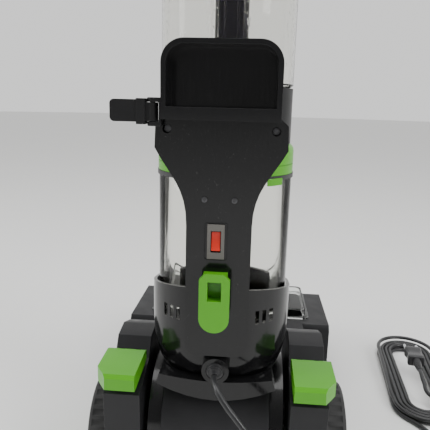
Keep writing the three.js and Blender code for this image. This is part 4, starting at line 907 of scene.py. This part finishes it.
def make_wheel(side, sign):
    """A treaded tyre with a hollow middle, and the domed cover of its wheel."""
    centre, inner, outer = inner_and_outer(f"tyre_{side}", sign)

    def on_axle(x):
        return Vector((x, centre.y, centre.z))

    def off_axle(m):
        return (m - on_axle(m.x)).length

    tyre = rod(f"tyre_{side}_tread", on_axle(inner), on_axle(outer), 57 * MM, TYRE_SIDES)
    bevel(tyre, lambda m, d: abs(d.x) < 0.1 and (m - centre).length > 50 * MM, 4.5 * MM, 4)
    inset(tyre, lambda m, d: abs(d.x) > 0.9 and abs(m.y - centre.y) < TINY, 7.5 * MM)
    remove_faces(tyre, lambda m, d: abs(d.x) > 0.9 and off_axle(m) < TINY)
    only(tyre)
    bpy.ops.object.mode_set(mode="EDIT")
    bpy.ops.mesh.select_mode(type="EDGE")
    bpy.ops.mesh.select_all(action="DESELECT")
    bpy.ops.mesh.select_non_manifold()
    bpy.ops.mesh.bridge_edge_loops()
    bpy.ops.mesh.select_all(action="SELECT")
    bpy.ops.mesh.normals_make_consistent(inside=False)
    done()

    def tread(m, d):
        angle = math.atan2(m.z - centre.z, m.y - centre.y)
        number = int((angle + math.pi) / (2 * math.pi) * TYRE_SIDES + 0.25)
        on_tread = (m - centre).length > 55 * MM and abs(m.x - centre.x) < 3 * MM
        return on_tread and abs(d.x) < 0.1 and number % 3 != 0

    inset(tyre, tread, 1.6 * MM, -1 * MM)
    fit(smooth(tyre, 35), TYRE, f"tyre_{side}")

    rim = 44.6 * MM
    near, far = inner_and_outer(f"wheel_{side}", sign)[1:]
    flat = far - sign * 6.5 * MM
    cover = rod(f"wheel_{side}_cover", on_axle(near), on_axle(flat), rim, TYRE_SIDES)
    # How far each ring of the dome draws in and how far it stands out, and the hole in its middle.
    for width, height in ((2, 1.6), (6, 2.9), (9, 1.4), (7, 0.5), (5, 0), (1.5, -2)):
        inset(cover, lambda m, d: d.x * sign > 0.9 and off_axle(m) < TINY, width * MM, height * MM)
    bevel(cover, lambda m, d: abs(d.x) < 0.1 and abs(off_axle(m) - rim) < 1 * MM, 0.8 * MM, 2)
    fit(smooth(cover, 30), GREEN, f"wheel_{side}")


def make_bristles():
    """Tufts of bristle set in six winding rows round the roll."""
    random.seed(11)
    low, high = around("brush_bristles")
    centre = (low + high) / 2
    foot, tip = 13.5 * MM, 27.8 * MM  # from the axis of the roll
    strands = []
    for i in range(9):
        lean = Vector((random.uniform(-1, 1), random.uniform(-1, 1), 0)) * 1.9 * MM
        end = lean + Vector((0, 0, tip - random.uniform(0, 0.8) * MM))
        strands.append(rod("strand", lean * 0.3 + Vector((0, 0, foot)), end, 0.62 * MM, 4, 0.5 * MM))
    tuft = unite("tuft", *strands)
    tufts = []
    rows, along = 6, 34
    for row in range(rows):
        for i in range(along):
            copy = tuft.copy()
            copy.data = tuft.data.copy()
            bpy.context.scene.collection.objects.link(copy)
            x = low.x + 4 * MM + (high.x - low.x - 8 * MM) * (i + 0.5) / along
            angle = 2 * math.pi * row / rows + math.pi * i / along + random.uniform(-0.03, 0.03)
            place = Matrix.Translation((x, centre.y, centre.z))
            copy.matrix_world = place @ Matrix.Rotation(angle, 4, "X")
            tufts.append(copy)
    bpy.data.objects.remove(tuft)
    bristles = settle(unite("brush_tufts", *tufts), "brush_tufts")
    fit(smooth(bristles, 60), GREEN, "brush_bristles")


def make_base():
    """The brush head: its mouldings, arms, wheels, pedals and brush."""
    fit(moulding("chassis", 0.6 * MM, 2, 40), SATIN_BLACK, "chassis")
    fit(moulding("hood", 3 * MM, 4, 40), DARK_GREY, "hood")
    fit(moulding("suction_nozzle", 1.6 * MM, 3, 40), SATIN_BLACK, "suction_nozzle")
    fit(moulding("nozzle_window", 1.1 * MM, 3, 40), WINDOW_CLEAR, "nozzle_window")
    for side, sign in (("left", -1), ("right", 1)):
        fit(moulding(f"arm_{side}", 2.4 * MM, 4), DARK_GREY, f"arm_{side}")
        make_wheel(side, sign)
    for pedal in ("tilt_pedal", "brush_pedal"):
        fit(moulding(pedal, 1.9 * MM, 4, 25), GREEN, pedal)
    make_bristles()


def make_upright():
    """The tilting body and its handle."""
    make_lower_body()
    make_upper_housing()
    make_bin()
    make_spine()
    fit(moulding("lower_trim", 1 * MM, 3, 40), GLOSS_BLACK, "lower_trim")
    fit(moulding("drum_cover", 1.6 * MM, 4, 40), DARK_GREY, "drum_cover")
    fit(moulding("drum_housing", 1.2 * MM, 3, 40), GLOSS_BLACK, "drum_housing")
    fit(moulding("cord_hook", 1.2 * MM, 4, 40), GREEN, "cord_hook")
    fit(moulding("hose_hook_bracket", 0.8 * MM, 3, 40), SATIN_BLACK, "hose_hook_bracket")
    fit(moulding("hose_hook_arm", 1.2 * MM, 3, 40), SATIN_BLACK, "hose_hook_arm")
    fit(moulding("handle_grip", 5 * MM, 5, 20), SATIN_BLACK, "handle_grip")
    fit(moulding("spray_trigger", 1.6 * MM, 3, 25), GREEN, "spray_trigger")
    low, high = around("handle_stem")
    stem = rounded_prism("stem_tube", low, high, 9 * MM, 10)
    flute_y = low.y - 0.4 * MM
    for x in (-7 * MM, 7 * MM):
        carve(stem, rod("flute", (x, flute_y, low.z - 0.01), (x, flute_y, high.z + 0.01), 1.4 * MM, 16))
    soften(stem, 0.5 * MM, 2, 50)
    fit(stem, VIOLET, "handle_stem")


make_dirty_tank()
make_clean_tank()
make_upright()
make_base()

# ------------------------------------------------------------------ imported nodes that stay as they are
for node, piece in frame["nodes"].items():
    for slot_number in range(len(piece.material_slots)):
        piece.material_slots[slot_number].material = FINISH_OF[SLOT_OF[node]]


# ------------------------------------------------------------------ stage
def set_stage():
    """A wide pale floor, and soft light from all round, from above and from both sides."""
    bpy.ops.mesh.primitive_circle_add(vertices=96, radius=14, fill_type="NGON", location=(0, 0, -0.0005))
    floor = settle(bpy.context.object, "floor")
    material, tree, shader = finish("pale floor", (0.8, 0.8, 0.79), 0.6)
    mottle = spread(tree, noise(tree, 2.5, 2), 0.3, 0.7, 0, 0.06)
    tint(tree, shader, mottle, (0.8, 0.8, 0.79), (0.7, 0.7, 0.7))
    floor.data.materials.append(material)
    world = bpy.data.worlds.new("studio")
    world.use_nodes = True
    sky = world.node_tree
    where = sky.nodes.new("ShaderNodeTexCoord")
    parts = sky.nodes.new("ShaderNodeSeparateXYZ")
    sky.links.new(where.outputs["Generated"], parts.inputs["Vector"])
    fade = sky.nodes.new("ShaderNodeMapRange")
    fade.interpolation_type = "SMOOTHSTEP"
    set_range(fade, -0.95, -0.1, 0.35, 1.15)
    sky.links.new(parts.outputs["Y"], fade.inputs["Value"])
    background = sky.nodes["Background"]
    background.inputs["Color"].default_value = (0.9, 0.9, 0.895, 1)
    sky.links.new(fade.outputs["Result"], background.inputs["Strength"])
    bpy.context.scene.world = world
    for name, place, power, size in (
        ("right light", (1.7, -1.3, 1.5), 30, (0.7, 1.4)),
        ("left light", (-1.9, -0.7, 1.3), 22, (0.5, 1.6)),
        ("top light", (0.1, -0.3, 2.6), 30, (1.6, 1.6)),
    ):
        light = bpy.data.lights.new(name, "AREA")
        light.energy = power
        light.shape = "RECTANGLE"
        light.size, light.size_y = size
        lamp = bpy.data.objects.new(name, light)
        lamp.location = place
        lamp.rotation_euler = (Vector((0, 0, 0.35)) - Vector(place)).to_track_quat("-Z", "Y").to_euler()
        bpy.context.scene.collection.objects.link(lamp)


set_stage()
